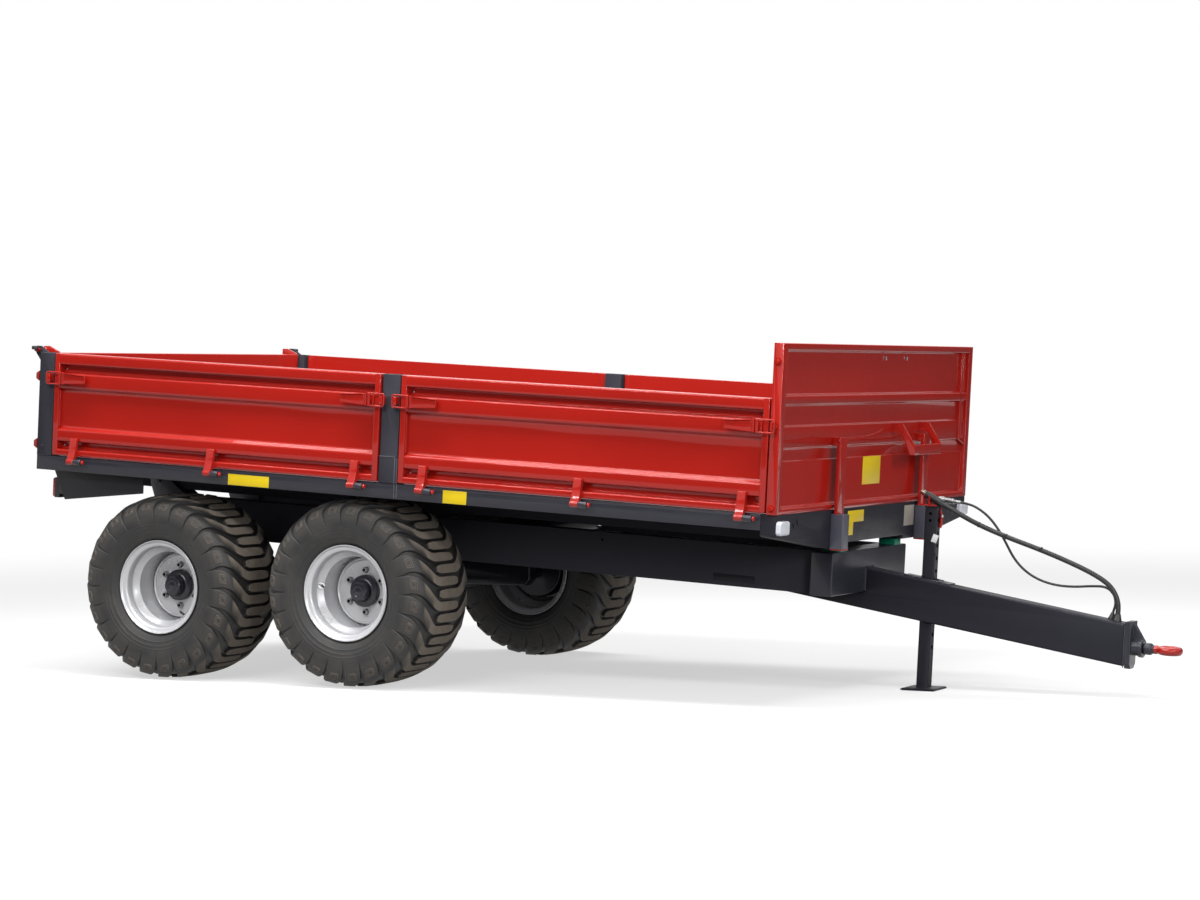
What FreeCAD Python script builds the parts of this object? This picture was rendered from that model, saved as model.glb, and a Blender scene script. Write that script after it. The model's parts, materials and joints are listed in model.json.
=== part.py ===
"""Tipping farm trailer on a four-wheel bogie, as a parametric FreeCAD document, in millimetres.

The trailer's own frame has +X towards the towing eye, +Y to the left, +Z up and the ground at z = 0,
with its origin below the middle of the whole trailer.

The chassis, the drawbar and the bed are drawn level in the chassis frame: x = 0 over the middle of the
bogie and z = 0 at the ground there. Parked on its jack leg the trailer leans nose-down, so those pieces
turn by park_tilt about the bogie's centre at hub height. The wheels and the rocking beams stay level.
The right-hand side is drawn and the left-hand side is its mirror image.
"""

import FreeCAD, Part
import Sketcher
import math
import os
import re

Vector = FreeCAD.Vector
doc = FreeCAD.newDocument("tipping_trailer")

# Driving dimensions, in millimetres and degrees.
SIZES = {
    # stance
    "park_tilt": 3.41,
    "origin_ahead": 1580,
    "seat_gap": 0.3,
    "pin_clearance": 0.5,
    # tyres and rims
    "tyre_radius": 472.5,
    "tyre_width": 500,
    "tyre_bead_radius": 216,
    "tyre_shoulder_radius": 436,
    "tread_half_width": 196,
    "lug_count": 24,
    "lug_height": 18,
    "lug_crown_drop": 1.5,
    "lug_reach_down": 78,
    "lug_head_share": 0.6,
    "lug_neck_share": 0.45,
    "lug_foot_share": 0.62,
    "bogie_wheelbase": 1123,
    "wheel_track": 1876,
    "rim_flange_radius": 240,
    "rim_width": 440,
    "rim_flange_width": 14,
    "rim_wall": 9,
    "rim_well_radius": 186,
    "disc_face": 20,
    "disc_thickness": 14,
    # hubs and bogie
    "hub_radius": 80,
    "hub_nose": 45,
    "hub_cap_radius": 50,
    "hub_cap_reach": 100,
    "drum_radius": 150,
    "drum_width": 120,
    "stub_radius": 45,
    "rocker_inner": 570,
    "rocker_width": 80,
    "rocker_height": 130,
    "rocker_drop": 5,
    "rocker_end": 90,
    "rocker_end_slope": 35,
    "rocker_boss_wall": 20,
    "hub_floor": 10,
    "stub_clearance": 2,
    "backing_clearance": 6,
    "backing_thickness": 8,
    "backing_inset": 10,
    "rocker_pivot_height": 500,
    "rocker_pivot_radius": 50,
    "hanger_thickness": 15,
    "hanger_top_length": 300,
    "hanger_foot_length": 150,
    "hanger_drop": 75,
    # chassis
    "beam_outer": 400,
    "beam_width": 100,
    "beam_bottom": 645,
    "beam_height": 210,
    "beam_rear": 1060,
    "front_box_rear": 2750,
    "front_box_length": 115,
    "front_box_half_width": 472,
    "rest_pad_height": 30,
    "rest_pad_length": 85,
    "tube_side": 100,
    # tip hinge and cylinder
    "tip_hinge_back": 1120,
    "tip_hinge_rise": 44.7,
    "tip_pin_radius": 20,
    "tip_lug_radius": 50,
    "tip_lug_thickness": 12,
    "tip_plate_reach": 130,
    "tip_plate_lift": 60,
    "ram_foot_ahead": 600,
    "ram_foot_height": 730,
    "ram_head_ahead": 1500,
    "ram_head_rise": 59.7,
    "ram_barrel_radius": 72,
    "ram_wall": 9,
    "ram_stage_gap": 0.5,
    "ram_stage_wall": 12,
    "ram_stage_inset": 10,
    "ram_base_thickness": 40,
    "ram_foot_setback": 45,
    "ram_neck_length": 68,
    "ram_eye_sink": 10,
    "ram_stage_show": 25,
    "ram_eye_radius": 30,
    "ram_eye_width": 60,
    "ram_ear_gap": 6,
    "ram_ear_thickness": 12,
    "ram_tube_setback": 64,
    "ram_tube_lift": 5,
    # bed
    "bed_rear": 1320,
    "bed_half_width": 1223,
    "runner_outer": 390,
    "runner_width": 80,
    "runner_height": 115,
    "runner_rear": 1250,
    "cross_member_height": 64,
    "cross_member_width": 60,
    "cross_member_first": 260,
    "cross_member_pitch": 430,
    "floor_thickness": 6,
    "rail_setback": 10,
    "rail_width": 70,
    "rail_height": 75,
    "sill_width": 80,
    "post_setback": 8,
    "post_width": 75,
    "rear_post_length": 95,
    "middle_post_length": 103,
    "socket_wall": 2,
    "socket_height": 208,
    # side panels
    "panel_gap": 8,
    "panel_lift": 6,
    "panel_height": 526,
    "panel_thickness": 58,
    "panel_recess": 27,
    "panel_end_channel": 30,
    "rear_panel_length": 1970,
    "front_panel_length": 1958,
    "strap_first": 115,
    "strap_pitch": 850,
    "strap_width": 50,
    "strap_thickness": 8,
    "strap_reach": 93,
    "hinge_out": 27,
    "hinge_drop": 22,
    "hinge_eye_radius": 16,
    "hinge_pin_radius": 8,
    "hinge_sleeve_length": 45,
    "hinge_head_length": 18,
    # panel latches
    "latch_drop": 128,
    "latch_height": 68,
    "latch_bar": 8,
    "latch_hook_reach": 42,
    "latch_handle_reach": 232,
    "latch_lug_width": 12,
    # front wall
    "wall_depth": 50,
    "wall_height": 786,
    "wall_flange": 50,
    "member_depth": 80,
    "member_end_height": 105,
    "member_deep_half": 600,
    "member_deep_height": 184,
    "member_notch_half": 352,
    "member_notch_height": 165,
    "stay_inner": 500,
    "stay_width": 80,
    "stay_depth": 20,
    "stay_gap": 13,
    "stay_height": 345,
    "stay_foot_depth": 63,
    "step_inner": 170,
    "step_width": 366,
    "step_plate": 6,
    "step_arm_depth": 46,
    "step_reach": 127,
    "step_top": 1470,
    "step_drop": 151,
    "step_tread_height": 50,
    # tailgate
    "gate_thickness": 50,
    "gate_side_gap": 8,
    "gate_setback": 8,
    "gate_lift": 13,
    "gate_hinge_setback": 27,
    "gate_hinge_lift": 12,
    "gate_pin_radius": 10,
    "gate_rib_depth": 20,
    "gate_rib_height": 53,
    "gate_upper_rib_drop": 96,
    "gate_lower_rib_drop": 447,
    "gusset_thickness": 10,
    "gusset_radius": 24,
    # lamps
    "front_lamp_width": 108,
    "front_lamp_height": 67,
    "front_lamp_depth": 24,
    "lamp_plate_inset": 63,
    "lamp_plate_thickness": 8,
    "rear_lamp_width": 190,
    "rear_lamp_height": 105,
    "rear_lamp_depth": 47,
    # drawbar, head and eye
    "drawbar_width": 100,
    "drawbar_depth": 201,
    "drawbar_top_rear": 764,
    "drawbar_top_front": 606,
    "drawbar_front": 4190,
    "drawbar_tail": 2130,
    "head_plate_thickness": 30,
    "head_plate_height": 224,
    "head_plate_top": 618,
    "eye_axis_height": 495,
    "boss_radius": 38,
    "head_gusset_half": 14,
    "head_collar_length": 20,
    "head_collar_rise": 6,
    "boss_length": 52,
    "swivel_pin_radius": 20,
    "eye_collar_radius": 44,
    "eye_collar_length": 22,
    "eye_shank_radius": 27,
    "eye_centre_ahead": 4398,
    "eye_bore_radius": 25,
    "eye_outer_radius": 62,
    "eye_thickness": 40,
    # jack leg
    "leg_side": 62,
    "leg_ahead": 3180,
    "leg_top": 1088,
    "leg_wall": 5,
    "leg_clearance": 5,
    "foot_side": 176,
    "foot_thickness": 12,
    "cradle_width": 50,
    "cradle_plate": 5,
    "cradle_overhang": 40,
    "cradle_setback": 8,
    "cradle_front_seat": 22.8,
    "cradle_front_height": 50,
    "cradle_rear_seat": 38.6,
    "plug_seat": 15.2,
    "cradle_rear_height": 60,
    # hose and cable
    "hose_diameter": 24,
    "cable_diameter": 12,
    "coupling_length": 120,
    "plug_length": 116,
}

# Places that follow from the driving dimensions, each written once.
DERIVED = {
    "tip_hinge_height": "runner_bottom + tip_hinge_rise",
    "ram_head_height": "runner_bottom + ram_head_rise",
    "ram_reach": "sqrt((ram_head_ahead - ram_foot_ahead)^2 + (ram_head_height - ram_foot_height)^2)",
    "ram_eye_back": "ram_reach - ram_eye_radius + ram_eye_sink",
    "ram_barrel_length": "ram_eye_back - ram_foot_setback - 3 * ram_stage_show - ram_neck_length",
    "hub_height": "tyre_radius",
    "facet_cosine": "cos(180 / lug_count)",
    "lug_shoulder_radius": "tyre_shoulder_radius + lug_height * 0.7",
    "crown_radius": "tyre_radius / cos(180 / lug_count * (1 - lug_head_share))",
    "wheel_out": "wheel_track / 2",
    "disc_back": "disc_face - disc_thickness",
    "axle_ahead": "bogie_wheelbase / 2",
    "pivot_ahead": "-(rocker_pivot_height - hub_height) * sin(park_tilt)",
    "pivot_height": "hub_height + (rocker_pivot_height - hub_height) * cos(park_tilt)",
    "beam_inner": "beam_outer - beam_width",
    "beam_top": "beam_bottom + beam_height",
    "front_box_front": "front_box_rear + front_box_length",
    "runner_inner": "runner_outer - runner_width",
    "runner_bottom": "beam_top + rest_pad_height + seat_gap",
    "runner_top": "runner_bottom + runner_height",
    "floor_top": "runner_top + cross_member_height + floor_thickness",
    "rail_outer": "bed_half_width - rail_setback",
    "rail_inner": "rail_outer - rail_width",
    "rail_bottom": "floor_top - rail_height",
    "post_outer": "bed_half_width - post_setback",
    "post_inner": "post_outer - post_width",
    "rear_post_front": "rear_post_length - bed_rear",
    "rear_panel_start": "rear_post_front + panel_gap",
    "rear_panel_end": "rear_panel_start + rear_panel_length",
    "middle_post_start": "rear_panel_end + panel_gap",
    "middle_post_end": "middle_post_start + middle_post_length",
    "front_panel_start": "middle_post_end + panel_gap",
    "front_panel_end": "front_panel_start + front_panel_length",
    "wall_rear": "front_panel_end + panel_gap",
    "wall_front": "wall_rear + wall_depth",
    "wall_top": "floor_top + wall_height",
    "member_rear": "wall_front - member_depth",
    "panel_bottom": "floor_top + panel_lift",
    "panel_top": "panel_bottom + panel_height",
    "hinge_y": "bed_half_width + hinge_out",
    "hinge_z": "floor_top - hinge_drop",
    "latch_z": "panel_top - latch_drop",
    "gate_rear": "gate_setback - bed_rear",
    "gate_hinge_back": "bed_rear + gate_hinge_setback",
    "gate_hinge_height": "panel_top + gate_hinge_lift",
    "gate_front": "gate_rear + gate_thickness",
    "gate_half": "post_inner - gate_side_gap",
    "drawbar_slope": "(drawbar_top_rear - drawbar_top_front) / (drawbar_front - front_box_front)",
    "head_front": "drawbar_front + head_plate_thickness",
    "boss_front": "head_front + boss_length",
    "leg_front": "leg_ahead + leg_side / 2",
    "leg_rear": "leg_ahead - leg_side / 2",
}

TILTED = "tilted"
LEVEL = "level"
WORD = re.compile(r"[a-z_][a-z_0-9]*")


def make_sheet():
    """The spreadsheet that holds every driving dimension under its own name."""
    sheet = doc.addObject("Spreadsheet::Sheet", "Sizes")
    for row, (alias, size) in enumerate(SIZES.items(), 1):
        sheet.set(f"A{row}", alias)
        sheet.set(f"B{row}", str(size))
        sheet.setAlias(f"B{row}", alias)
    doc.recompute()
    return sheet


def formula(text):
    """A FreeCAD expression, with derived places written out and sizes read from the sheet."""

    def spell(match):
        word = match.group(0)
        if word in DERIVED:
            return f"({formula(DERIVED[word])})"
        return f"Sizes.{word}" if word in SIZES else word

    return WORD.sub(spell, str(text))


make_sheet()
probe = doc.addObject("Part::Box", "Probe")


def number(text):
    """The value that a formula has now, for the first guess of a sketch and for free-form shapes."""
    probe.setExpression("Placement.Base.x", formula(text))
    probe.recompute()
    return probe.Placement.Base.x


def block(name, x, y, z):
    """A rectangular block between two formulas along each axis."""
    solid = doc.addObject("Part::Box", name)
    for side, axis, span in zip(("Length", "Width", "Height"), "xyz", (x, y, z)):
        solid.setExpression(side, formula(f"({span[1]}) - ({span[0]})"))
        solid.setExpression(f"Placement.Base.{axis}", formula(span[0]))
    return solid


AXIS_TURN = {
    "x": FreeCAD.Rotation(Vector(0, 1, 0), 90),
    "y": FreeCAD.Rotation(Vector(1, 0, 0), -90),
    "z": FreeCAD.Rotation(),
}


def rod(name, axis, centre, radius, span):
    """A cylinder along an axis. centre gives the other two coordinates, in the order x, y, z."""
    solid = doc.addObject("Part::Cylinder", name)
    solid.Placement = FreeCAD.Placement(Vector(), AXIS_TURN[axis])
    places = dict(zip([a for a in "xyz" if a != axis], centre))
    places[axis] = span[0]
    for letter, place in places.items():
        solid.setExpression(f"Placement.Base.{letter}", formula(place))
    solid.setExpression("Radius", formula(radius))
    solid.setExpression("Height", formula(f"({span[1]}) - ({span[0]})"))
    return solid


def plane_of(body, role):
    return next(item for item in body.Origin.OriginFeatures if item.Role == role)


def sketch_on(body, role, outline, holes=()):
    """A closed outline of straight edges, each corner held by two bound distances, with round holes."""
    sketch = body.newObject("Sketcher::SketchObject", f"{body.Name}_sketch")
    sketch.AttachmentSupport = [(plane_of(body, role), "")]
    sketch.MapMode = "FlatFace"
    corners = [(number(a), number(b)) for a, b in outline]
    count = len(corners)
    for index, corner in enumerate(corners):
        after = corners[(index + 1) % count]
        sketch.addGeometry(Part.LineSegment(Vector(*corner, 0), Vector(*after, 0)), False)
    for index in range(count):
        sketch.addConstraint(Sketcher.Constraint("Coincident", index, 2, (index + 1) % count, 1))
    for index, corner in enumerate(corners):
        hold_point(sketch, index, 1, outline[index], corner)
    for across, along, radius in holes:
        centre = (number(across), number(along))
        size = number(radius)
        circle = Part.Circle(Vector(*centre, 0), Vector(0, 0, 1), size)
        index = sketch.addGeometry(circle, False)
        hold_point(sketch, index, 3, (across, along), centre)
        bound = sketch.addConstraint(Sketcher.Constraint("Radius", index, size))
        sketch.setExpression(f"Constraints[{bound}]", formula(radius))
    return sketch


def hold_point(sketch, index, end, formulas, place):
    for kind, text, value in zip(("DistanceX", "DistanceY"), formulas, place):
        bound = sketch.addConstraint(Sketcher.Constraint(kind, -1, 1, index, end, value))
        sketch.setExpression(f"Constraints[{bound}]", formula(text))


# Each drawing plane's role in a body, and whether its normal runs against the axis.
PLANES = {"xz": ("XZ_Plane", True), "yz": ("YZ_Plane", False), "xy": ("XY_Plane", False)}


def prism(name, plane, outline, span, holes=()):
    """A body with one outline padded between two formulas along the plane's normal axis."""
    body = doc.addObject("PartDesign::Body", name)
    role, backwards = PLANES[plane]
    sketch = sketch_on(body, role, outline, holes)
    start = f"-({span[1]})" if backwards else span[0]
    sketch.setExpression("AttachmentOffset.Base.z", formula(start))
    pad = body.newObject("PartDesign::Pad", f"{name}_pad")
    pad.Profile = sketch
    pad.setExpression("Length", formula(f"({span[1]}) - ({span[0]})"))
    sketch.Visibility = False
    return body


def turned(name, outline, axis="y"):
    """A body turned about the y axis from (radius, place) corners, or about x from (place, radius)."""
    body = doc.addObject("PartDesign::Body", name)
    sketch = sketch_on(body, "XY_Plane", outline)
    turn = body.newObject("PartDesign::Revolution", f"{name}_turn")
    turn.Profile = sketch
    turn.ReferenceAxis = (sketch, ["V_Axis" if axis == "y" else "H_Axis"])
    turn.Angle = 360
    sketch.Visibility = False
    return body


def moved(name, source, x="0", y="0", z="0", turn=None):
    """A copy of a solid that follows it, placed by formulas."""
    copy = doc.addObject("Part::Compound", name)
    copy.Links = [source]
    copy.Placement = FreeCAD.Placement(Vector(), turn or FreeCAD.Rotation())
    for letter, place in zip("xyz", (x, y, z)):
        copy.setExpression(f"Placement.Base.{letter}", formula(place))
    return copy


def fused(name, pieces):
    union = doc.addObject("Part::MultiFuse", name)
    union.Shapes = pieces
    return union


def carved(name, base, tools):
    cut = doc.addObject("Part::Cut", name)
    cut.Base = base
    cut.Tool = tools[0] if len(tools) == 1 else fused(f"{name}_tools", tools)
    return cut


def mirrored(name, source):
    """The left-hand twin of a right-hand piece."""
    twin = doc.addObject("Part::Mirroring", name)
    twin.Source = source
    twin.Normal = Vector(0, 1, 0)
    return twin


NODES = {}


def node(name, pieces, stance=TILTED):
    """One sub-part: its solids, labelled, and placed level on the ground or leaning with the chassis."""
    part = doc.addObject("Part::Compound", f"node_{name}")
    part.Label = name
    part.Links = pieces
    part.Placement = FreeCAD.Placement(Vector(), FreeCAD.Rotation(Vector(0, 1, 0), 1))
    angle = "park_tilt" if stance == TILTED else "0"
    part.setExpression("Placement.Rotation.Angle", formula(angle))
    part.setExpression("Placement.Base.x", formula(f"-hub_height * sin({angle}) - origin_ahead"))
    part.setExpression("Placement.Base.z", formula(f"hub_height * (1 - cos({angle}))"))
    NODES[name] = part
    return part


def both_sides(name, piece):
    """A node that holds a right-hand piece and its twin."""
    return node(name, [piece, mirrored(f"{name}_twin", piece)])


# Wheels and bogie


# Rings of a tyre's tread from its crown to a sidewall: radius at the lugs' tips, place across, height of
# the lugs, then their sweep round the tyre and their width, both as shares of the pitch.
TREAD_RINGS = [
    ("crown_radius", "0", "lug_height", "0", "lug_head_share"),
    ("tyre_radius - lug_crown_drop", "tread_half_width * 0.56", "lug_height", "0.5", "lug_neck_share"),
    ("lug_shoulder_radius", "tyre_width / 2 - 22", "lug_height * 0.8", "1.5", "lug_foot_share"),
    ("tyre_shoulder_radius - lug_reach_down", "tyre_width / 2", "0", "1.5", "lug_foot_share"),
]

# Rings of the sidewall below the lugs, each with one corner a pitch: radius and place across.
SIDEWALL_RINGS = [
    ("rim_flange_radius + 28", "tyre_width / 2 - 14"),
    ("(rim_flange_radius + seat_gap) / facet_cosine", "rim_width / 2 - rim_flange_width"),
    ("tyre_bead_radius / facet_cosine", "rim_width / 2 - rim_flange_width"),
]


def tread_corners(across_sign, phase):
    """Corners of one half of a tyre: for each ring, a function of pitch number and lug edge."""
    pitch = math.radians(number("360 / lug_count"))
    tread = [[number(text) for text in ring] for ring in TREAD_RINGS]
    sidewall = [[number(text) for text in ring] for ring in SIDEWALL_RINGS]

    def place(radius, across, pitches):
        return (radius * math.cos(pitches * pitch), across_sign * across, radius * math.sin(pitches * pitch))

    def corner(ring, edge, lug, sunk=0):
        radius, across, height, sweep, share = tread[ring]
        return place(radius - sunk * height, across, lug + phase + sweep + edge * share / 2)

    def side_corner(ring, lug):
        radius, across = sidewall[ring]
        return place(radius, across, lug + phase + tread[-1][3])

    return corner, side_corner


def half_tyre(across_sign, phase, lugs):
    """Facets of one half: lug tops, grooves between lugs, lug walls and the sidewall down to the flange."""
    corner, side_corner = tread_corners(across_sign, phase)
    opposite, _ = tread_corners(across_sign, phase + 0.5)
    facets = []
    for lug in range(lugs):
        after = lug + 1
        # the top, which runs on into the two neighbours from the other half where they overlap
        crown = [corner(0, -1, lug), opposite(0, 1, lug - 1), opposite(0, -1, lug), corner(0, 1, lug)]
        neck = [corner(1, -1, lug), corner(1, 1, lug)]
        foot = [corner(2, -1, lug), corner(2, 1, lug)]
        tail = [corner(3, -1, lug), corner(3, 1, lug)]
        facets += [[crown[0], crown[1], neck[0]], [crown[1], crown[2], neck[0]], [crown[2], neck[1], neck[0]]]
        facets += [[crown[2], crown[3], neck[1]]]
        facets += [[neck[0], neck[1], foot[0]], [neck[1], foot[1], foot[0]], [*foot, tail[1], tail[0]]]
        # the groove behind it
        start, end = corner(0, 1, lug, 1), corner(0, -1, after, 1)
        low_start, low_end = corner(2, 1, lug, 1), corner(2, -1, after, 1)
        facets += [[start, end, low_start], [end, low_end, low_start]]
        facets += [[low_start, low_end, corner(3, -1, after), tail[1]]]
        # its two side walls
        for edge, top in ((-1, 0), (1, 1)):
            sunk_crown, sunk_foot = corner(0, edge, lug, 1), corner(2, edge, lug, 1)
            crown_corner = crown[0] if edge < 0 else crown[3]
            facets += [[crown_corner, neck[top], sunk_crown], [neck[top], sunk_foot, sunk_crown]]
            facets += [[neck[top], foot[top], sunk_foot], [foot[top], tail[top], sunk_foot]]
        # the sidewall
        outer, outer_after = side_corner(0, lug), side_corner(0, after)
        facets += [[*tail, outer], [tail[1], corner(3, -1, after), outer_after, outer]]
        facets += [[outer, outer_after, side_corner(1, after), side_corner(1, lug)]]
    return facets


def lug_heads(lugs):
    """The blunt end of each lug, in the groove between two lugs of the other half."""
    heads = []
    for phase in (0, 0.5):
        other, _ = tread_corners(1, phase + 0.5)
        for lug in range(lugs):
            start, end = (1, lug - 1), (-1, lug)
            heads.append([other(0, *start), other(0, *end), other(0, *end, 1), other(0, *start, 1)])
    return heads


def make_tyre():
    """A tyre with raked lugs, as flat facets. Each half's lugs stand half a pitch from the other's."""
    lugs = round(number("lug_count"))
    polygons = half_tyre(1, 0, lugs) + half_tyre(-1, 0.5, lugs) + lug_heads(lugs)
    bore = {}
    for sign, phase in ((1, 0), (-1, 0.5)):
        _, side_corner = tread_corners(sign, phase)
        _, level_corner = tread_corners(sign, 0)
        rim = [side_corner(1, lug) for lug in range(lugs)]
        bore[sign] = [level_corner(2, lug) for lug in range(lugs)]
        annulus = []
        for ring in (rim, bore[sign]):
            annulus.append(Part.makePolygon([Vector(*place) for place in ring + ring[:1]]))
        polygons.append(annulus)
    for lug in range(lugs):
        after = (lug + 1) % lugs
        polygons.append([bore[1][lug], bore[1][after], bore[-1][after], bore[-1][lug]])
    faces = []
    for polygon in polygons:
        if isinstance(polygon[0], tuple):
            places = [Vector(*place) for place in polygon]
            faces.append(Part.Face(Part.makePolygon(places + places[:1])))
        else:
            faces.append(Part.makeFace(polygon, "Part::FaceMakerBullseye"))
    shell = Part.makeShell(faces)
    shell.sewShape()
    tyre = doc.addObject("Part::Feature", "tyre")
    tyre.Shape = Part.makeSolid(shell)
    print(f"tyre: {len(faces)} facets, valid {tyre.Shape.isValid()}, volume {tyre.Shape.Volume / 1e9:.4f} m3")
    return tyre


def make_rim():
    """A deep rim: flanges, bead seats, drop well and a bolted disc set back from the outer edge."""
    edge = "rim_width / 2"
    inside = "rim_flange_radius - rim_wall"
    seat = "tyre_bead_radius - seat_gap"
    outer = [
        ("rim_flange_radius", edge),
        ("rim_flange_radius", f"{edge} - rim_flange_width + 4"),
        (seat, f"{edge} - rim_flange_width"),
        (seat, f"{edge} - 58"),
        ("rim_well_radius", f"{edge} - 84"),
        ("rim_well_radius", f"-({edge} - 150)"),
        (seat, f"-({edge} - 120)"),
        (seat, f"-({edge} - rim_flange_width)"),
        ("rim_flange_radius", f"-({edge} - rim_flange_width + 4)"),
        ("rim_flange_radius", f"-({edge})"),
    ]
    inner = [
        (inside, f"-({edge})"),
        (f"{seat} - rim_wall", f"-({edge} - rim_flange_width - 4)"),
        (f"{seat} - rim_wall", f"-({edge} - 116)"),
        ("rim_well_radius - rim_wall", f"-({edge} - 146)"),
        ("rim_well_radius - rim_wall", "disc_back - 26"),
        ("rim_well_radius - 34", "disc_back"),
        ("hub_radius + pin_clearance", "disc_back"),
        ("hub_radius + pin_clearance", "disc_face"),
        ("rim_well_radius - 30", "disc_face"),
        ("rim_well_radius - rim_wall", "disc_face - 18"),
        ("rim_well_radius - rim_wall", f"{edge} - 88"),
        (f"{seat} - rim_wall", f"{edge} - 62"),
        (f"{seat} - rim_wall", f"{edge} - rim_flange_width - 4"),
        (inside, edge),
    ]
    return turned("rim", outer + inner)


def make_hub():
    """A hub with its brake drum behind the wheel disc and a stepped cap in front."""
    outline = [
        ("0", "hub_cap_reach"),
        ("hub_cap_radius - 6", "hub_cap_reach"),
        ("hub_cap_radius", "hub_cap_reach - 8"),
        ("hub_cap_radius", "hub_nose"),
        ("hub_radius", "hub_nose - 6"),
        ("hub_radius", "disc_back"),
        ("drum_radius", "disc_back"),
        ("drum_radius", "disc_back - drum_width"),
        ("stub_radius + pin_clearance", "disc_back - drum_width"),
        ("stub_radius + pin_clearance", "disc_back - hub_floor"),
        ("0", "disc_back - hub_floor"),
    ]
    return turned("hub_turned", outline)


def make_wheels():
    """Four wheels, each a tyre, a rim and a hub. The right-hand rims and hubs are turned to face outwards.

    The tyres aren't turned, so that all four have their lugs raked for the same way of rolling.
    """
    pieces = {"tyre": make_tyre(), "rim": make_rim(), "hub": make_hub()}
    straight = FreeCAD.Rotation()
    facing = {
        "right": ("-wheel_out", FreeCAD.Rotation(Vector(0, 0, 1), 180)),
        "left": ("wheel_out", straight),
    }
    for end, ahead in (("front", "axle_ahead"), ("rear", "-axle_ahead")):
        for side, (across, turn) in facing.items():
            for kind, piece in pieces.items():
                name = f"{kind}_{end}_{side}"
                own_turn = straight if kind == "tyre" else turn
                placed = moved(f"{name}_placed", piece, ahead, across, "hub_height", own_turn)
                node(name, [placed], LEVEL)


def make_rocker():
    """A rocking beam, low between the wheels, with a bored boss for the pivot shaft in its middle."""
    low = "hub_height - rocker_drop - rocker_height / 2"
    high = "hub_height - rocker_drop + rocker_height / 2"
    reach = "(axle_ahead + rocker_end)"
    inner = "-rocker_inner - rocker_width"
    outline = [
        (f"-{reach}", f"{low} + rocker_end_slope"),
        (f"rocker_end_slope - {reach}", low),
        (f"{reach} - rocker_end_slope", low),
        (reach, f"{low} + rocker_end_slope"),
        (reach, high),
        (f"-{reach}", high),
    ]
    pivot = ("0", "rocker_pivot_height")
    bar = prism("rocker_bar", "xz", outline, (inner, "-rocker_inner"))
    boss = rod("rocker_boss", "y", pivot, "rocker_pivot_radius + rocker_boss_wall", (inner, "-rocker_inner"))
    bore = rod("rocker_bore", "y", pivot, "rocker_pivot_radius + pin_clearance", (inner, "-rocker_inner"))
    return carved("rocker", fused("rocker_solid", [bar, boss]), [bore])


def make_stub_axle(end, ahead):
    """A stub axle from a rocking beam into its hub, with the brake's backing plate behind the drum."""
    centre = (ahead, "hub_height")
    bearing = "-wheel_out - disc_back + hub_floor + stub_clearance"
    stub = rod(f"stub_{end}", "y", centre, "stub_radius", (bearing, "-rocker_inner - rocker_width"))
    behind = "-wheel_out - disc_back + drum_width + backing_clearance"
    span = (behind, f"{behind} + backing_thickness")
    backing = rod(f"backing_{end}", "y", centre, "drum_radius - backing_inset", span)
    return fused(f"stub_axle_{end}", [stub, backing])


def make_bogie_hangers():
    """The pivot shaft across the trailer, hung from four plates under the two chassis beams."""
    outline = [
        ("-hanger_top_length / 2", "beam_bottom"),
        ("-hanger_foot_length / 2", "pivot_height - hanger_drop"),
        ("hanger_foot_length / 2", "pivot_height - hanger_drop"),
        ("hanger_top_length / 2", "beam_bottom"),
    ]
    shaft_end = "rocker_inner + rocker_width + 12"
    centre = ("pivot_ahead", "pivot_height")
    span = (f"-({shaft_end})", shaft_end)
    pieces = [rod("pivot_shaft", "y", centre, "rocker_pivot_radius", span)]
    for place, start in (("inner", "beam_inner"), ("outer", "beam_outer - hanger_thickness")):
        plate = (f"-({start}) - hanger_thickness", f"-({start})")
        right = prism(f"hanger_{place}", "xz", outline, plate)
        pieces += [right, mirrored(f"hanger_{place}_left", right)]
    return fused("bogie_hangers", pieces)


def make_bogie():
    rocker = make_rocker()
    node("bogie_beams", [rocker, mirrored("rocker_left", rocker)], LEVEL)
    right = [make_stub_axle("front", "axle_ahead"), make_stub_axle("rear", "-axle_ahead")]
    node("stub_axles", right + [mirrored(f"{stub.Name}_left", stub) for stub in right], LEVEL)
    node("bogie_pivot", [make_bogie_hangers()])


# Chassis


def make_chassis():
    beam = block(
        "beam", ("-beam_rear", "front_box_rear"), ("-beam_outer", "-beam_inner"), ("beam_bottom", "beam_top")
    )
    both_sides("chassis_beams", beam)
    across = ("-front_box_half_width", "front_box_half_width")
    box = block("front_box", ("front_box_rear", "front_box_front"), across, ("beam_bottom", "beam_top"))
    node("chassis_front_box", [box])
    tubes = []
    for name, rear, low in (
        ("rear", "-beam_rear + 20", "beam_bottom + 55"),
        ("bogie", "-tube_side / 2", "beam_bottom + 20"),
        ("ram", "ram_foot_ahead - ram_tube_setback - tube_side", "beam_bottom + ram_tube_lift"),
        ("drawbar", "drawbar_tail + 20", "beam_bottom"),
    ):
        span = (rear, f"{rear} + tube_side")
        room = "tip_lug_thickness" if name == "rear" else "0"
        between = (f"{room} - beam_inner", f"beam_inner - {room}")
        tubes.append(block(f"tube_{name}", span, between, (low, f"{low} + tube_side")))
    tubes[2] = fused("ram_tube", [tubes[2]] + make_ram_ears())
    node("chassis_cross_tubes", tubes)
    pad = block(
        "pad",
        ("front_box_front - rest_pad_length", "front_box_front"),
        ("-runner_outer", "-runner_inner"),
        ("beam_top", "beam_top + rest_pad_height"),
    )
    both_sides("rest_pads", pad)


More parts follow.
